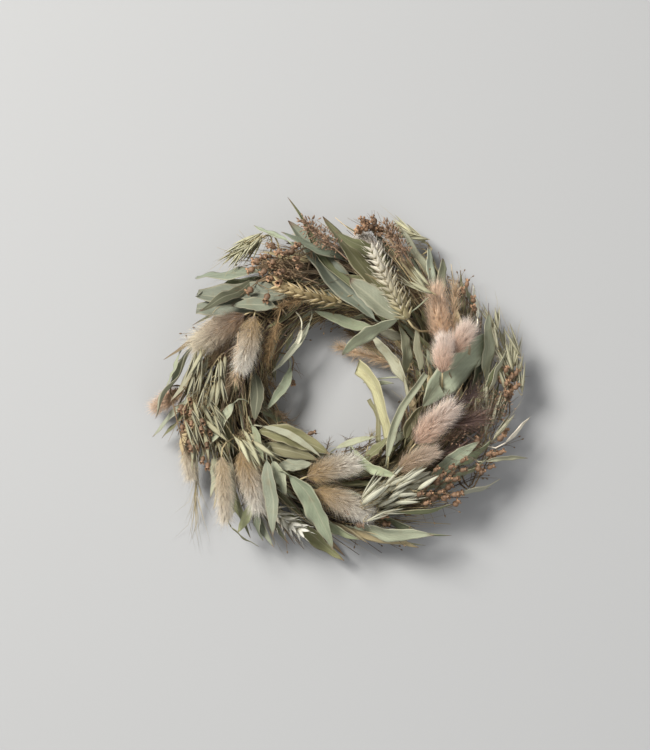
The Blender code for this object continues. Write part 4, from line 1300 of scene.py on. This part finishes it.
def limit(slant):
    """How far the fine filling may reach from the ring: most outside, less in front and least inside."""
    side = np.cos(slant)
    return LIMIT_FRONT + np.where(side > 0, (LIMIT_OUT - LIMIT_FRONT) * side, (LIMIT_FRONT - LIMIT_IN) * side)


def sweep(rng, bunch, kind, roof):
    """Paths that leave the ring's body in the direction of growth, nearly straight and spreading as they go.

    Each runs from a place close to the ring to one at a share of the limit. Those over the roof are left out.
    """
    count = kind.tries
    first = bunch_angle(bunch) + rng.uniform(*SWEEP_FROM, count) * BUNCH_STEP
    slant = np.radians(rng.uniform(*kind.slants, count))
    spread = np.clip(slant + rng.normal(0, SWEEP_TURN, count), *SWEEP_SIDES)
    root = shell_point(first, slant, rng.uniform(*kind.starts, count))
    last = first + rng.uniform(*kind.spans, count) / RING_RADIUS
    tip = shell_point(last, spread, limit(spread) * rng.uniform(*kind.ends, count))
    tip[:, 2] = np.maximum(tip[:, 2], SWEEP_LOWEST)
    s = np.linspace(0, 1, kind.steps)[None, :, None]
    bow = outward((root + tip) / 2) * rng.uniform(-1, 4, (count, 1)) + rng.normal(0, 1.2, (count, 3))
    paths = root[:, None] * (1 - s) + tip[:, None] * s + 4 * s * (1 - s) * bow[:, None]
    return behind(roof, paths, kind.count)


def behind(roof, paths, count):
    """The first paths of which no more than a small share lies in front of a leaf or a head."""
    found = []
    for path in paths:
        at = np.linspace(0, len(path) - 1, SAMPLES)
        points = np.stack([np.interp(at, np.arange(len(path)), path[:, axis]) for axis in range(3)], 1)
        above = sum(roof.ray_cast(point, (0, 0, -1))[0] is not None for point in points.tolist())
        if above <= MOST_ABOVE * SAMPLES:
            found.append(path)
    return np.array(found[:count])


def draw_blade(sheaf, bunch, path, rng):
    """A narrow leaf from the start of a path to its end."""
    width, side = rng.uniform(3.6, 8.0), rng.uniform(-0.1, 0.1)
    roll, twist = rng.uniform(-0.6, 0.6), rng.uniform(-0.5, 0.5)
    blade = Piece("leaf", bunch, "", 0, path[0], path[-1], width, side, BLADE_UP, roll, twist)
    rings, t, v = leaf_rings(blade, rng, "willow", GRASS_STATIONS, GRASS_COLUMNS)
    tone = np.array(COLOURS[GRASS_STYLES[rng.integers(len(GRASS_STYLES))]]) * rng.uniform(0.7, 1.1)
    sheaf.tubes(rings, "leaf", tone, along=t[None, :, None], across=there_and_back(v), tint=rng.uniform())


def draw_grass(sheaf, bunch, rng, roof):
    """Narrow leaves low over the ring, grass stems, twigs with side shoots and buds, and awns."""
    for path in sweep(rng, bunch, BLADES, roof):
        draw_blade(sheaf, bunch, path, rng)
    paths = sweep(rng, bunch, GRASS, roof)
    draw_fine(sheaf, rng, rings_round(paths, np.linspace(0.42, 0.2, GRASS.steps), 4), STEM_STYLES)
    draw_twigs(sheaf, bunch, rng, roof)
    paths = sweep(rng, bunch, AWNS, roof)
    tones = [COLOURS[style] for style in rng.choice(("straw", "gold", "umber"), len(paths))]
    sheaf.needles(paths, 0.16, "stem", tones, tint=rng.uniform(0, 1, len(paths)))


def draw_fine(sheaf, rng, rings, styles):
    """Thin stems, each in a colour drawn from the styles."""
    tones = [COLOURS[style] for style in rng.choice(styles, len(rings))]
    sheaf.tubes(rings, "stem", tones, tint=rng.uniform(0, 1, len(rings)))


def draw_twigs(sheaf, bunch, rng, roof):
    """Dark twigs, each with side shoots that end in small buds."""
    paths = sweep(rng, bunch, TWIGS, roof)
    rings = rings_round(paths, np.linspace(0.45, 0.2, TWIGS.steps), 4)
    draw_fine(sheaf, rng, rings, ("bark", "mauve", "umber"))
    starts = paths[:, 2:].reshape(-1, 3)
    start = starts[rng.integers(0, len(starts), TWIGS.count * TWIG_SHOOTS)]
    growth = unit(paths[0, -1] - paths[0, 0])
    shoots = shoot_paths(rng, start, growth, (6, 13), 0.6)
    draw_fine(sheaf, rng, rings_round(shoots, np.linspace(0.22, 0.13, SHOOT_POINTS), 3), ("bark", "umber"))
    ends = shoots[:, -2:]
    line = ends[:, 1] - ends[:, 0]
    buds = ends[:, 1:2] + unit(line)[:, None] * np.linspace(-0.2, 1.8, 5)[:, None]
    sheaf.tubes(rings_round(buds, np.array([0.2, 0.5, 0.6, 0.4, 0.15]), 5), "stem", COLOURS["umber"])


# Tufts of hair-thin grass: the bunch that holds them, base, tip, heights, spread, how many hairs, and their
# length and colour.
TUFTS = (
    (11, (57, 10), (1, 29), 0.30, 0.36, 0.42, 620, 15, "tan"),
    (11, (57, 18), (8, 38), 0.34, 0.40, 0.42, 480, 14, "umber"),
    (11, (60, 4), (20, 30), 0.30, 0.34, 0.36, 300, 16, "straw"),
    (0, (46, 88), (33, 109), 0.62, 0.60, 0.5, 160, 9, "tan"),
    (1, (-3, 93), (-20, 112), 0.85, 0.70, 0.5, 160, 9, "straw"),
    (3, (-58, 56), (-92, 14), 0.70, 0.74, 0.8, 260, 15, "umber"),
    (4, (-72, 36), (-74, 2), 0.85, 0.85, 0.6, 160, 14, "tan"),
    (9, (66, -32), (92, -26), 0.94, 0.80, 0.38, 240, 32, "plum"),
    (9, (70, -22), (92, -8), 0.98, 0.90, 0.5, 120, 24, "mauve"),
    (9, (58, -52), (86, -46), 0.80, 0.74, 0.45, 120, 30, "plum"),
    (11, (78, 26), (80, 66), 0.70, 0.85, 0.45, 220, 16, "tan"),
    (5, (-102, -36), (-104, -84), 0.30, 0.12, 0.16, 44, 44, "straw"),
    (7, (0, -47), (28, -41), 0.40, 0.35, 0.9, 50, 10, "umber"),
    (7, (-12, -52), (-8, -38), 0.60, 0.60, 0.8, 26, 10, "umber"),
    (4, (-56, 8), (-43, -6), 0.50, 0.45, 0.7, 130, 9, "umber"),
    (5, (-54, -14), (-40, -22), 0.50, 0.45, 0.7, 110, 9, "umber"),
    (8, (2, -50), (6, -37), 0.60, 0.60, 0.8, 34, 11, "umber"),
    (8, (18, -47), (22, -34), 0.62, 0.60, 0.7, 40, 12, "straw"),
    (3, (-42, 52), (-52, 16), 0.90, 0.86, 1.0, 300, 11, "bronze"),
    (2, (-20, 62), (-44, 52), 0.90, 0.90, 0.9, 200, 10, "bronze"),
    (4, (-98, 20), (-100, -10), 0.72, 0.66, 0.6, 160, 14, "umber"),
)


def draw_tuft(sheaf, rng, base, tip, spread, count, length, tone):
    """Hairs that leave an axis from base to tip, lean aside by a draw times the spread, and curve."""
    share = rng.uniform(0, 1, count) ** 0.8
    line = unit(tip - base)
    root = base + (0.2 + 0.8 * share[:, None]) * (tip - base)
    away = unit(line + rng.normal(0, spread, (count, 3)))
    span = length * rng.uniform(0.5, 1.0, (count, 1))
    middle = root + away * span * 0.5
    end = middle + unit(away + rng.normal(0, 0.25, (count, 3))) * span * 0.5
    tones = np.array(tone) * rng.uniform(0.6, 1.2, (count, 1))
    sheaf.needles(np.stack([root, middle, end], 1), 0.14, "stem", tones, tint=rng.uniform(0, 1, count))
    axis = base + (tip - base) * np.linspace(0, 1, 6)[:, None]
    sheaf.tubes(rings_round(axis[None], np.linspace(0.5, 0.15, 6), 4), "stem", tone)


# Loose seedheads: the bunch that holds them, base, tip, heights, how far the grains lie from the axis, how
# many grains, and their length and colour.
GRAINS = (
    (0, (47, 90), (33, 113), 0.72, 0.66, 8.0, 190, 2.6, "rust"),
    (1, (-2, 92), (-24, 115), 0.95, 0.80, 8.5, 210, 2.6, "rust"),
    (2, (-24, 72), (-52, 84), 1.00, 0.95, 9.0, 90, 2.0, "umber"),
    (9, (72, -40), (112, -16), 0.86, 0.74, 11.0, 170, 1.8, "rust"),
    (10, (100, -34), (118, 2), 0.70, 0.64, 8.0, 90, 1.8, "rust"),
)


def draw_grains(sheaf, rng, base, tip, reach, count, length, tone):
    """Small spindles on hairs, which leave an axis at a slant and are as long as a draw times the reach."""
    line = unit(tip - base)
    root = base + rng.uniform(0, 1, (count, 1)) * (tip - base)
    away = unit(0.8 * line + rng.normal(0, 0.6, (count, 3)))
    end = root + away * reach * rng.uniform(0.3, 1.0, (count, 1))
    tones = np.array(tone) * rng.uniform(0.6, 1.7, (count, 1))
    sheaf.needles(np.stack([root, (root + end) / 2, end], 1), 0.12, "stem", tones * 0.8)
    grains = end[:, None] + away[:, None] * length * np.linspace(0, 1, 4)[:, None]
    radii = length * np.array([0.08, 0.2, 0.17, 0.04])
    sheaf.tubes(rings_round(grains, radii, 5), "stem", tones, tint=rng.uniform(0, 1, count))
    axis = base + (tip - base) * np.linspace(-0.3, 1, 6)[:, None]
    sheaf.tubes(rings_round(axis[None], np.linspace(0.6, 0.2, 6), 4), "stem", tone)


# More of the plants than the solids have: sprays of small seeds, one small head, and narrow leaves. The rows
# are as those of TAILS and LEAVES.
MORE_SIZES = {"oat": ("oat", 18.0, 3.9), "pod": ("pod", 4.0, 3.7), "bell": ("pod", 6.5, 6.5)}
POD_TILT = 0.7
OVER_LIFTS = LIFTS[:9]
MORE_SEEDS = (
    ("oat", Spray(0, (56, 68), 15, 8, 7, 0.95)),
    ("oat", Spray(1, (46, 112), 10, 6, 5, 0.42)),
    ("oat", Spray(3, (-70, 98), 12, 7, 9, 0.68)),
    ("oat", Spray(4, (-92, 6), 24, 14, 13, 0.92)),
    ("oat", Spray(5, (-90, -34), 20, 14, 13, 0.88)),
    ("oat", Spray(6, (-58, -48), 11, 8, 7, 1.02)),
    ("oat", Spray(8, (36, -78), 27, 12, 24, 0.93)),
    ("oat", Spray(10, (106, -16), 16, 9, 8, 0.70)),
    ("oat", Spray(11, (113, 28), 27, 9, 14, 0.58)),
    ("oat", Spray(11, (43, 10), 16, 7, 6, 0.85)),
    ("pod", Spray(0, (88, 62), 12, 7, 5, 0.85)),
    ("pod", Spray(1, (20, 113), 10, 6, 7, 0.70)),
    ("pod", Spray(2, (-43, 84), 20, 15, 11, 0.98)),
    ("bell", Spray(3, (-38, 63), 2, 2, 1, 1.0)),
    ("pod", Spray(4, (-36, 6), 4, 3, 1, 0.75)),
    ("pod", Spray(5, (-100, -34), 27, 9, 16, 0.88)),
    ("pod", Spray(6, (-26, -36), 9, 4, 3, 0.65)),
    ("pod", Spray(8, (8, -84), 20, 12, 6, 0.95)),
    ("pod", Spray(9, (70, -70), 22, 12, 14, 0.94)),
    ("pod", Spray(10, (104, -52), 14, 8, 6, 0.80)),
    ("pod", Spray(11, (120, 2), 14, 7, 8, 0.72)),
)
MORE_TAILS = (
    (11, (70, 6), (72, 30), 14, 1.0, 1.0, "pink"),
)
MORE_LEAVES = (
    ((-24, 111), (-39, 121), 3.6, 0.60, 0.50, 0.05, 0.3, "olive"),
    ((-66, 62), (-92, 54), 6.0, 0.60, 0.52, 0.06, 0.4, "dark"),
    ((-28, 39), (-33, 26), 3.0, 0.85, 0.80, 0.05, 0.3, "cream"),
    ((-14, 52), (-50, 12), 5.2, 0.80, 0.76, 0.12, 0.4, "olive"),
    ((-22, 45), (-50, 8), 4.2, 0.70, 0.64, 0.10, 0.2, "pale"),
    ((-90, -20), (-78, -44), 6.2, 0.98, 0.92, 0.04, 0.2, "sage"),
    ((-80, -26), (-90, -52), 5.0, 0.95, 0.90, 0.06, 0.3, "pale"),
    ((-88, -48), (-92, -80), 6.4, 0.74, 0.60, 0.05, 0.2, "pale"),
    ((-78, -50), (-77, -94), 6.8, 0.64, 0.50, 0.08, 0.2, "pale"),
    ((-62, -30), (-54, -56), 5.0, 0.96, 0.96, 0.08, 0.3, "sage"),
    ((-56, -24), (-9, -47), 4.6, 1.02, 1.02, 0.10, 0.2, "mist"),
    ((-55, -31), (-14, -53), 4.4, 1.00, 1.02, 0.14, 0.3, "pale"),
    ((-50, -22), (-16, -40), 4.0, 0.90, 0.94, 0.08, 0.3, "sage"),
    ((56, 8), (52, 40), 5.4, 0.85, 0.92, -0.08, 0.3, "sage"),
    ((62, 2), (60, 34), 5.0, 0.88, 0.95, 0.06, 0.2, "olive"),
    ((52, -20), (66, 4), 5.0, 0.85, 0.90, 0.05, 0.4, "sage"),
    ((104, -6), (118, 26), 5.4, 0.60, 0.66, 0.08, 0.3, "mist"),
    ((30, -70), (62, -62), 5.4, 0.95, 0.95, -0.06, 0.2, "pale"),
    ((40, -90), (78, -84), 5.0, 0.80, 0.76, -0.08, 0.3, "olive"),
    ((9, -47), (38, -65), 6.6, 1.05, 1.02, -0.26, 0.3, "round pale"),
    ((-4, -45), (25, -37), 4.4, 0.70, 0.76, 0.06, 0.3, "pale"),
    ((64, 56), (42, 81), 9.0, 0.90, 0.84, 0.06, 0.2, "broad straw"),
    ((20, 3), (38, 2), 3.4, 0.80, 0.70, 0.05, 0.3, "mist"),
)


def laid_over(piece, roof):
    """The piece, raised until it is clear of the wide pieces, or None."""
    for rise in OVER_LIFTS:
        way = lifted(piece, rise)
        points, faces = SOLIDS[piece.form](way)
        if not BVHTree.FromPolygons(points.tolist(), faces).overlap(roof):
            return way
    return None


def more_pieces(bunch, roof):
    """The small seeds on their stems, the small head and the narrow leaves of one bunch."""
    draw = random.Random(SEED + bunch)
    for form, spray in MORE_SEEDS:
        if spray.bunch == bunch:
            stem, *seeds = spray_plan(draw, (spray,), "leaves_inner", *MORE_SIZES[form])
            yield stem._replace(style="oats" if form == "oat" else "pods")
            for part in seeds:
                tilt = 0 if form == "oat" else POD_TILT * np.linalg.norm(part.tip - part.base)
                tip = part.tip + tilt * outward(part.tip)
                yield laid_over(on_stem(part, stem, part.along)._replace(tip=tip), roof)
    for piece in (*head_plan(MORE_TAILS), *leaf_plan(MORE_LEAVES)):
        if piece.bunch == bunch:
            yield piece if piece.form == "tail" else laid_over(piece, roof)


# The vine and the wire.

VINE_FINER = (6, 4)
VINE_SWELL = 1.9
VINE_FLAT = RING_HEIGHT - 0.8 * VINE_RADIUS
WIRE_STEPS = 6
WIRE_FACETS = 6
WIRE_LOWEST = 0.05


def draw_vine():
    """The ring: strands that stand out as |cos|^0.7 of a wound angle, with fine waves along them as bark.

    It is the solid's ring, six times finer along and four times finer across, with the same flat knots.
    """
    stations, sides = VINE_FINER[0] * VINE_STATIONS, VINE_FINER[1] * VINE_SIDES
    angle = 2 * np.pi * np.arange(stations)[:, None] / stations
    slant = 2 * np.pi * np.arange(sides) / sides - np.pi / 2
    lobe = np.abs(np.cos(VINE_STRANDS / 2 * slant + VINE_TURNS / 2 * angle))
    bark = 0.16 * np.sin(17 * slant + 3 * VINE_TURNS * angle + 2 * np.sin(9 * angle))
    bark = bark + 0.12 * np.sin(61 * angle + 5 * np.sin(3 * slant))
    reach = VINE_RADIUS - VINE_LOBE + VINE_SWELL * VINE_LOBE * lobe**0.7 + bark
    rings = shell_point(angle, slant, reach)[:, ::-1]
    for knot in KNOT_ANGLES:
        near = np.abs(angle - knot) < KNOT_REACH
        rings[..., 2] = np.where(near & (rings[..., 2] < VINE_FLAT), 0.0, rings[..., 2])
    rings[..., 2] = np.maximum(rings[..., 2], 0.0)
    sheaf = Sheaf()
    along = angle[None] / (2 * np.pi)
    sheaf.add(tubes(rings[None], closed=True), (1, *rings.shape[:2]), "vine", COLOURS["bark"], along=along)
    return sheaf


def draw_wire():
    """The wire through its points, rounded with a smooth cubic curve between each two."""
    corners = wire_path()
    steps = np.linspace(0, 1, WIRE_STEPS, endpoint=False)[:, None]
    before, after, last = np.roll(corners, 1, 0), np.roll(corners, -1, 0), np.roll(corners, -2, 0)
    parts = [
        0.5 * (
            2 * b
            + (c - a) * steps
            + (2 * a - 5 * b + 4 * c - d) * steps**2
            + (3 * b - a - 3 * c + d) * steps**3
        )
        for a, b, c, d in zip(before, corners, after, last, strict=True)
    ]
    rings = wire_rings(np.concatenate(parts), WIRE_FACETS)
    rings[..., 2] = np.maximum(rings[..., 2], WIRE_LOWEST)
    sheaf = Sheaf()
    sheaf.add(tubes(rings[None], closed=True), (1, *rings.shape[:2]), "wire", COLOURS["wire"])
    return sheaf


# Finishes.


class Socket:
    """A value in a material. Sums and products of such values add the nodes that work them out."""

    def __init__(self, finish, link):
        self.finish, self.link = finish, link

    def math(self, operation, *others, **settings):
        return self.finish.node("ShaderNodeMath", {"operation": operation, **settings}, (self, *others))

    def __add__(self, other):
        return self.math("ADD", other)

    def __mul__(self, other):
        return self.math("MULTIPLY", other)

    def __sub__(self, other):
        return self.math("SUBTRACT", other)

    def __rsub__(self, other):
        return self.math("MULTIPLY_ADD", -1.0, other)

    __radd__ = __add__
    __rmul__ = __mul__

    def between(self, low, high):
        """0 where the value is at low, 1 where it is at high, and held there beyond them."""
        slope = 1 / (high - low)
        return self.math("MULTIPLY_ADD", slope, -low * slope, use_clamp=True)


class Finish:
    """A material in the making: its nodes, and the Principled surface that they end in."""

    def __init__(self, name, roughness, **uniform):
        self.material = bpy.data.materials.new(name)
        self.material.use_nodes = True
        self.tree = self.material.node_tree
        self.surface = self.tree.nodes["Principled BSDF"]
        self.set("Roughness", roughness)
        for key, value in uniform.items():
            self.set(key.replace("_", " "), value)
        self.place = self.node("ShaderNodeTexCoord", output="Object")
        marks = self.node("ShaderNodeAttribute", {"attribute_name": "marks"}, output="Vector")
        parts = self.node("ShaderNodeSeparateXYZ", {}, (marks,))
        self.along, self.across, self.tint = (Socket(self, link) for link in parts.link.node.outputs)
        self.tone = self.node("ShaderNodeAttribute", {"attribute_name": "tone"}, output="Color")

    def set(self, name, value):
        self.feed(self.surface.inputs[name], value)

    def feed(self, socket, value):
        if isinstance(value, Socket):
            self.tree.links.new(value.link, socket)
        else:
            socket.default_value = value

    def node(self, kind, settings=None, values=(), output=0):
        """Adds a node: its settings first, then the values or links of its sockets, by place or by name."""
        made = self.tree.nodes.new(kind)
        for name, value in (settings or {}).items():
            setattr(made, name, value)
        for key, value in values.items() if isinstance(values, dict) else enumerate(values):
            self.feed(made.inputs[key], value)
        return Socket(self, made.outputs[output])

    def noise(self, scale, detail=2.0, place=None):
        values = {"Vector": place or self.place, "Scale": scale, "Detail": detail}
        return self.node("ShaderNodeTexNoise", {}, values)

    def point(self, x, y, z):
        return self.node("ShaderNodeCombineXYZ", {}, (x, y, z))

    def scaled(self, colour, share):
        return self.node("ShaderNodeVectorMath", {"operation": "SCALE"}, {0: colour, "Scale": share})

    def mix(self, share, one, other):
        colours = [(*part, 1.0) if isinstance(part, tuple) else part for part in (one, other)]
        return self.node("ShaderNodeMix", {"data_type": "RGBA"}, {0: share, 6: colours[0], 7: colours[1]}, 2)

    def bump(self, height, depth, strength=1.0):
        values = {"Strength": strength, "Distance": depth * MM, "Height": height}
        self.set("Normal", self.node("ShaderNodeBump", {}, values))


def leaf_finish():
    """Dried leaf: lengthwise streaks, a pale midrib and rim, a brown tip, and specks."""
    made = Finish("dried_leaf", 0.72)
    side = made.across.math("ABSOLUTE")
    lengthwise = made.point(made.along * 1.6, made.across * 5.0, made.tint * 40.0)
    streak = made.noise(1.6, 4.0, lengthwise)
    blotch = made.noise(110.0, 3.0)
    speck = made.noise(1300.0, 2.0)
    veins = (made.along * 70.0 - side * 16.0).math("SINE") * 0.5 + 0.5
    colour = made.scaled(made.tone, 0.62 + streak * 0.5 + speck * 0.22 + veins * 0.05)
    colour = made.mix(blotch.between(0.57, 0.74) * 0.35, colour, (0.21, 0.15, 0.075))
    colour = made.mix((1.0 - side.between(0.02, 0.12)) * 0.35, colour, (0.46, 0.44, 0.31))
    colour = made.mix(side.between(0.84, 0.98) * 0.5, colour, (0.50, 0.44, 0.31))
    tip = (made.along + speck * 0.08).between(0.95, 1.04)
    colour = made.mix(tip * 0.8, colour, (0.19, 0.10, 0.065))
    made.set("Base Color", made.mix(speck.between(0.66, 0.74) * 0.5, colour, (0.12, 0.08, 0.05)))
    made.bump(streak * 0.7 + veins * 0.12 + speck * 0.25, 0.35)
    return made.material


def stem_finish():
    """Stems and twigs: a matt skin with fine lengthwise grain and specks."""
    made = Finish("dried_stem", 0.7)
    grain = made.noise(2.2, 3.0, made.point(made.along * 2.0, made.across * 6.0, made.tint * 30.0))
    speck = made.noise(900.0, 2.0)
    colour = made.scaled(made.tone, 0.5 + grain * 0.65 + speck * 0.35)
    made.set("Base Color", colour)
    made.bump(grain + speck * 0.3, 0.15)
    return made.material


def tail_finish():
    """Fuzz: brown and darker with painted shade at each hair's root, the head's own colour up it, and paler
    at its tip.
    """
    made = Finish("soft_hair", 0.85, Sheen_Weight=0.35, Sheen_Roughness=0.5)
    # Towards each root the colour goes to a dark brown: partly the hair's own brown base, partly painted
    # shade among the hairs.
    brown_shaded_root = made.mix(made.along.between(-0.3, 0.45), (0.30, 0.18, 0.10), made.tone)
    pale = made.along.between(0.4, 1.0) * 0.35
    colour = made.mix(pale, brown_shaded_root, (1.0, 0.95, 0.88))
    made.set("Base Color", made.scaled(colour, 0.84 + made.tint * 0.26))
    return made.material


def husk_finish():
    """Papery scales: ribs along them, greener at the base and paler at the rim."""
    made = Finish("dried_husk", 0.6)
    side = made.across.math("ABSOLUTE")
    ribs = (made.across * 15.0).math("COSINE") * 0.5 + 0.5
    speck = made.noise(800.0, 2.0)
    colour = made.scaled(made.tone, 0.68 + ribs * 0.16 + speck * 0.3)
    colour = made.mix((1.0 - made.along.between(0.0, 0.35)) * 0.5, colour, (0.30, 0.25, 0.11))
    colour = made.mix(side.between(0.7, 1.0) * 0.35, colour, (0.78, 0.73, 0.58))
    made.set("Base Color", made.mix(made.along.between(0.86, 1.0) * 0.4, colour, (0.45, 0.33, 0.18)))
    made.bump(ribs * 0.7 + speck * 0.2, 0.2)
    return made.material


def pod_finish():
    """Woody capsules: copper brown, mottled, with a duller bloom on them."""
    made = Finish("dried_pod", 0.55)
    mottle = made.noise(450.0, 4.0)
    colour = made.scaled(made.tone, 0.45 + mottle * 1.1)
    made.set("Base Color", made.mix(mottle.between(0.55, 0.75) * 0.4, colour, (0.34, 0.20, 0.13)))
    made.set("Roughness", 0.42 + mottle * 0.35)
    made.bump(mottle, 0.3)
    return made.material


def vine_finish():
    """Bark: long fibres that wind with the vine, with paler scuffed ridges."""
    made = Finish("vine_bark", 0.8)
    fibre = made.noise(1.0, 5.0, made.point(made.along * 60.0, made.across * 9.0 + made.along * 40.0, 0.0))
    colour = made.scaled(made.tone, 0.45 + fibre * 1.2)
    made.set("Base Color", made.mix(fibre.between(0.55, 0.75) * 0.4, colour, (0.30, 0.22, 0.15)))
    made.bump(fibre, 0.6)
    return made.material


def wire_finish():
    """Blackened binding wire with a few bright scuffs."""
    made = Finish("binding_wire", 0.45, Metallic=1.0)
    scuff = made.noise(600.0, 3.0)
    made.set("Base Color", made.mix(scuff.between(0.5, 0.8), (0.05, 0.045, 0.04), (0.28, 0.26, 0.23)))
    made.set("Roughness", 0.35 + scuff * 0.3)
    return made.material


MAKERS = {
    "leaf": leaf_finish,
    "stem": stem_finish,
    "tail": tail_finish,
    "husk": husk_finish,
    "pod": pod_finish,
    "vine": vine_finish,
    "wire": wire_finish,
}
MADE = {}


def finish_of(name):
    """A material by the name of its maker, made when it is first asked for."""
    if name not in MADE:
        MADE[name] = MAKERS[name]()
    return MADE[name]


# The floor, the light and the camera.

IMAGE_HEIGHT_MM = 532.0
LENS = 70.0
SENSOR = 36.0
ELEVATION = math.radians(84)
VIEW_OFFSET = (-11.4, 7.1, 30.0)
FLOOR_SIZE = 40.0
LAMPS_AIM = (0.0, 0.0, 0.03)


def floor():
    """A wide pale floor under the wreath."""
    made = Finish("pale_floor", 0.9)
    made.set("Base Color", (0.46, 0.465, 0.47, 1.0))
    bpy.ops.mesh.primitive_plane_add(size=FLOOR_SIZE)
    plane = bpy.context.object
    plane.name = "floor"
    plane.data.materials.append(made.material)


def lamp(name, place, size, power, colour):
    """A square lamp at a place, which shines at LAMPS_AIM."""
    data = bpy.data.lights.new(name, "AREA")
    data.size, data.energy, data.color = size, power, colour
    made = bpy.data.objects.new(name, data)
    made.location = place
    made.rotation_euler = (Vector(LAMPS_AIM) - Vector(place)).to_track_quat("-Z", "Y").to_euler()
    bpy.context.scene.collection.objects.link(made)


def light():
    """A wide window of soft light from the upper left, and a dim even room."""
    lamp("window", (-1.6, 1.1, 2.3), 1.1, 124.0, (1.0, 0.98, 0.94))
    lamp("fill", (0.5, -0.7, 1.1), 1.2, 4.5, (0.97, 0.98, 1.0))
    world = bpy.data.worlds.new("room")
    world.use_nodes = True
    room = world.node_tree.nodes["Background"].inputs
    room["Color"].default_value = (0.78, 0.78, 0.78, 1.0)
    room["Strength"].default_value = 0.26
    bpy.context.scene.world = world
    bpy.context.scene.view_settings.view_transform = "Standard"


def camera(shift):
    """Looks down on the wreath, as far above it as makes the picture as high as IMAGE_HEIGHT_MM."""
    data = bpy.data.cameras.new("camera")
    data.lens, data.sensor_width = LENS, SENSOR
    target = Vector(shift + np.array(VIEW_OFFSET)) * MM
    away = Vector((0.0, -math.cos(ELEVATION), math.sin(ELEVATION))) * (IMAGE_HEIGHT_MM * LENS / SENSOR * MM)
    made = bpy.data.objects.new("camera", data)
    made.location = target + away
    made.rotation_euler = (-away).to_track_quat("-Z", "Y").to_euler()
    bpy.context.scene.collection.objects.link(made)
    bpy.context.scene.camera = made


# The whole.

SLOT_OF = {"leaves": "leaves", "oats": "oats", "pods": "pods", "tails": "tails", "ear": "ears"}


def place(sheaf, node, slot, shift):
    """Makes the object of one node, in its place in the frame."""
    made = sheaf.finish(f"dry_{node}", shift)
    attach(made, "root")
    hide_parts(node)


def roof_of(pieces):
    """What the fine filling stays behind: every wide leaf, head and ear as one surface."""
    points, faces, size = [], [], 0
    for piece in pieces:
        if piece.width >= ROOF_WIDTH:
            solid = SOLIDS[piece.form](piece)
            points.append(solid[0])
            faces += [[index + size for index in face] for face in solid[1]]
            size += len(solid[0])
    return BVHTree.FromPolygons(np.concatenate(points).tolist(), faces)


def frame_shift():
    """The move from the wreath's own coordinates to the frame's, read from the ring, which both have."""
    low, high = (np.array(corner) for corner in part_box("vine_ring"))
    own = vine_solid()[0]
    return (low + high) / (2 * MM) - (own.min(axis=0) + own.max(axis=0)) / 2


def fill_body(sheaf, bunch, rng, roof):
    """What a bunch has in this script alone: grass, small seeds, narrow leaves, tufts and loose seedheads."""
    draw_grass(sheaf, bunch, rng, roof)
    for piece in filter(None, more_pieces(bunch, roof)):
        DRAW[piece.form](sheaf, piece, rng)
    for draw_one, rows in ((draw_tuft, TUFTS), (draw_grains, GRAINS)):
        for home, base, tip, low, high, *rest, style in rows:
            if home == bunch:
                draw_one(sheaf, rng, on_dome(base, low), on_dome(tip, high), *rest, COLOURS[style])


def main():
    shift = frame_shift()
    camera(shift)
    light()
    floor()
    place(draw_vine(), "vine_ring", "vine", shift)
    place(draw_wire(), "binding_wire", "wire", shift)
    laid = lay_all()
    roof = roof_of([piece for _, pieces in laid.values() for piece in pieces])
    for node, ((bunch, slot), pieces) in laid.items():
        rng = chance(node)
        sheaf = Sheaf()
        draw_bundle(sheaf, bunch, slot, rng)
        for piece in pieces:
            DRAW[piece.form](sheaf, piece, rng)
        if slot == "leaves_inner":
            fill_body(sheaf, bunch, rng, roof)
        place(sheaf, node, SLOT_OF[node.split("_")[0]], shift)


main()
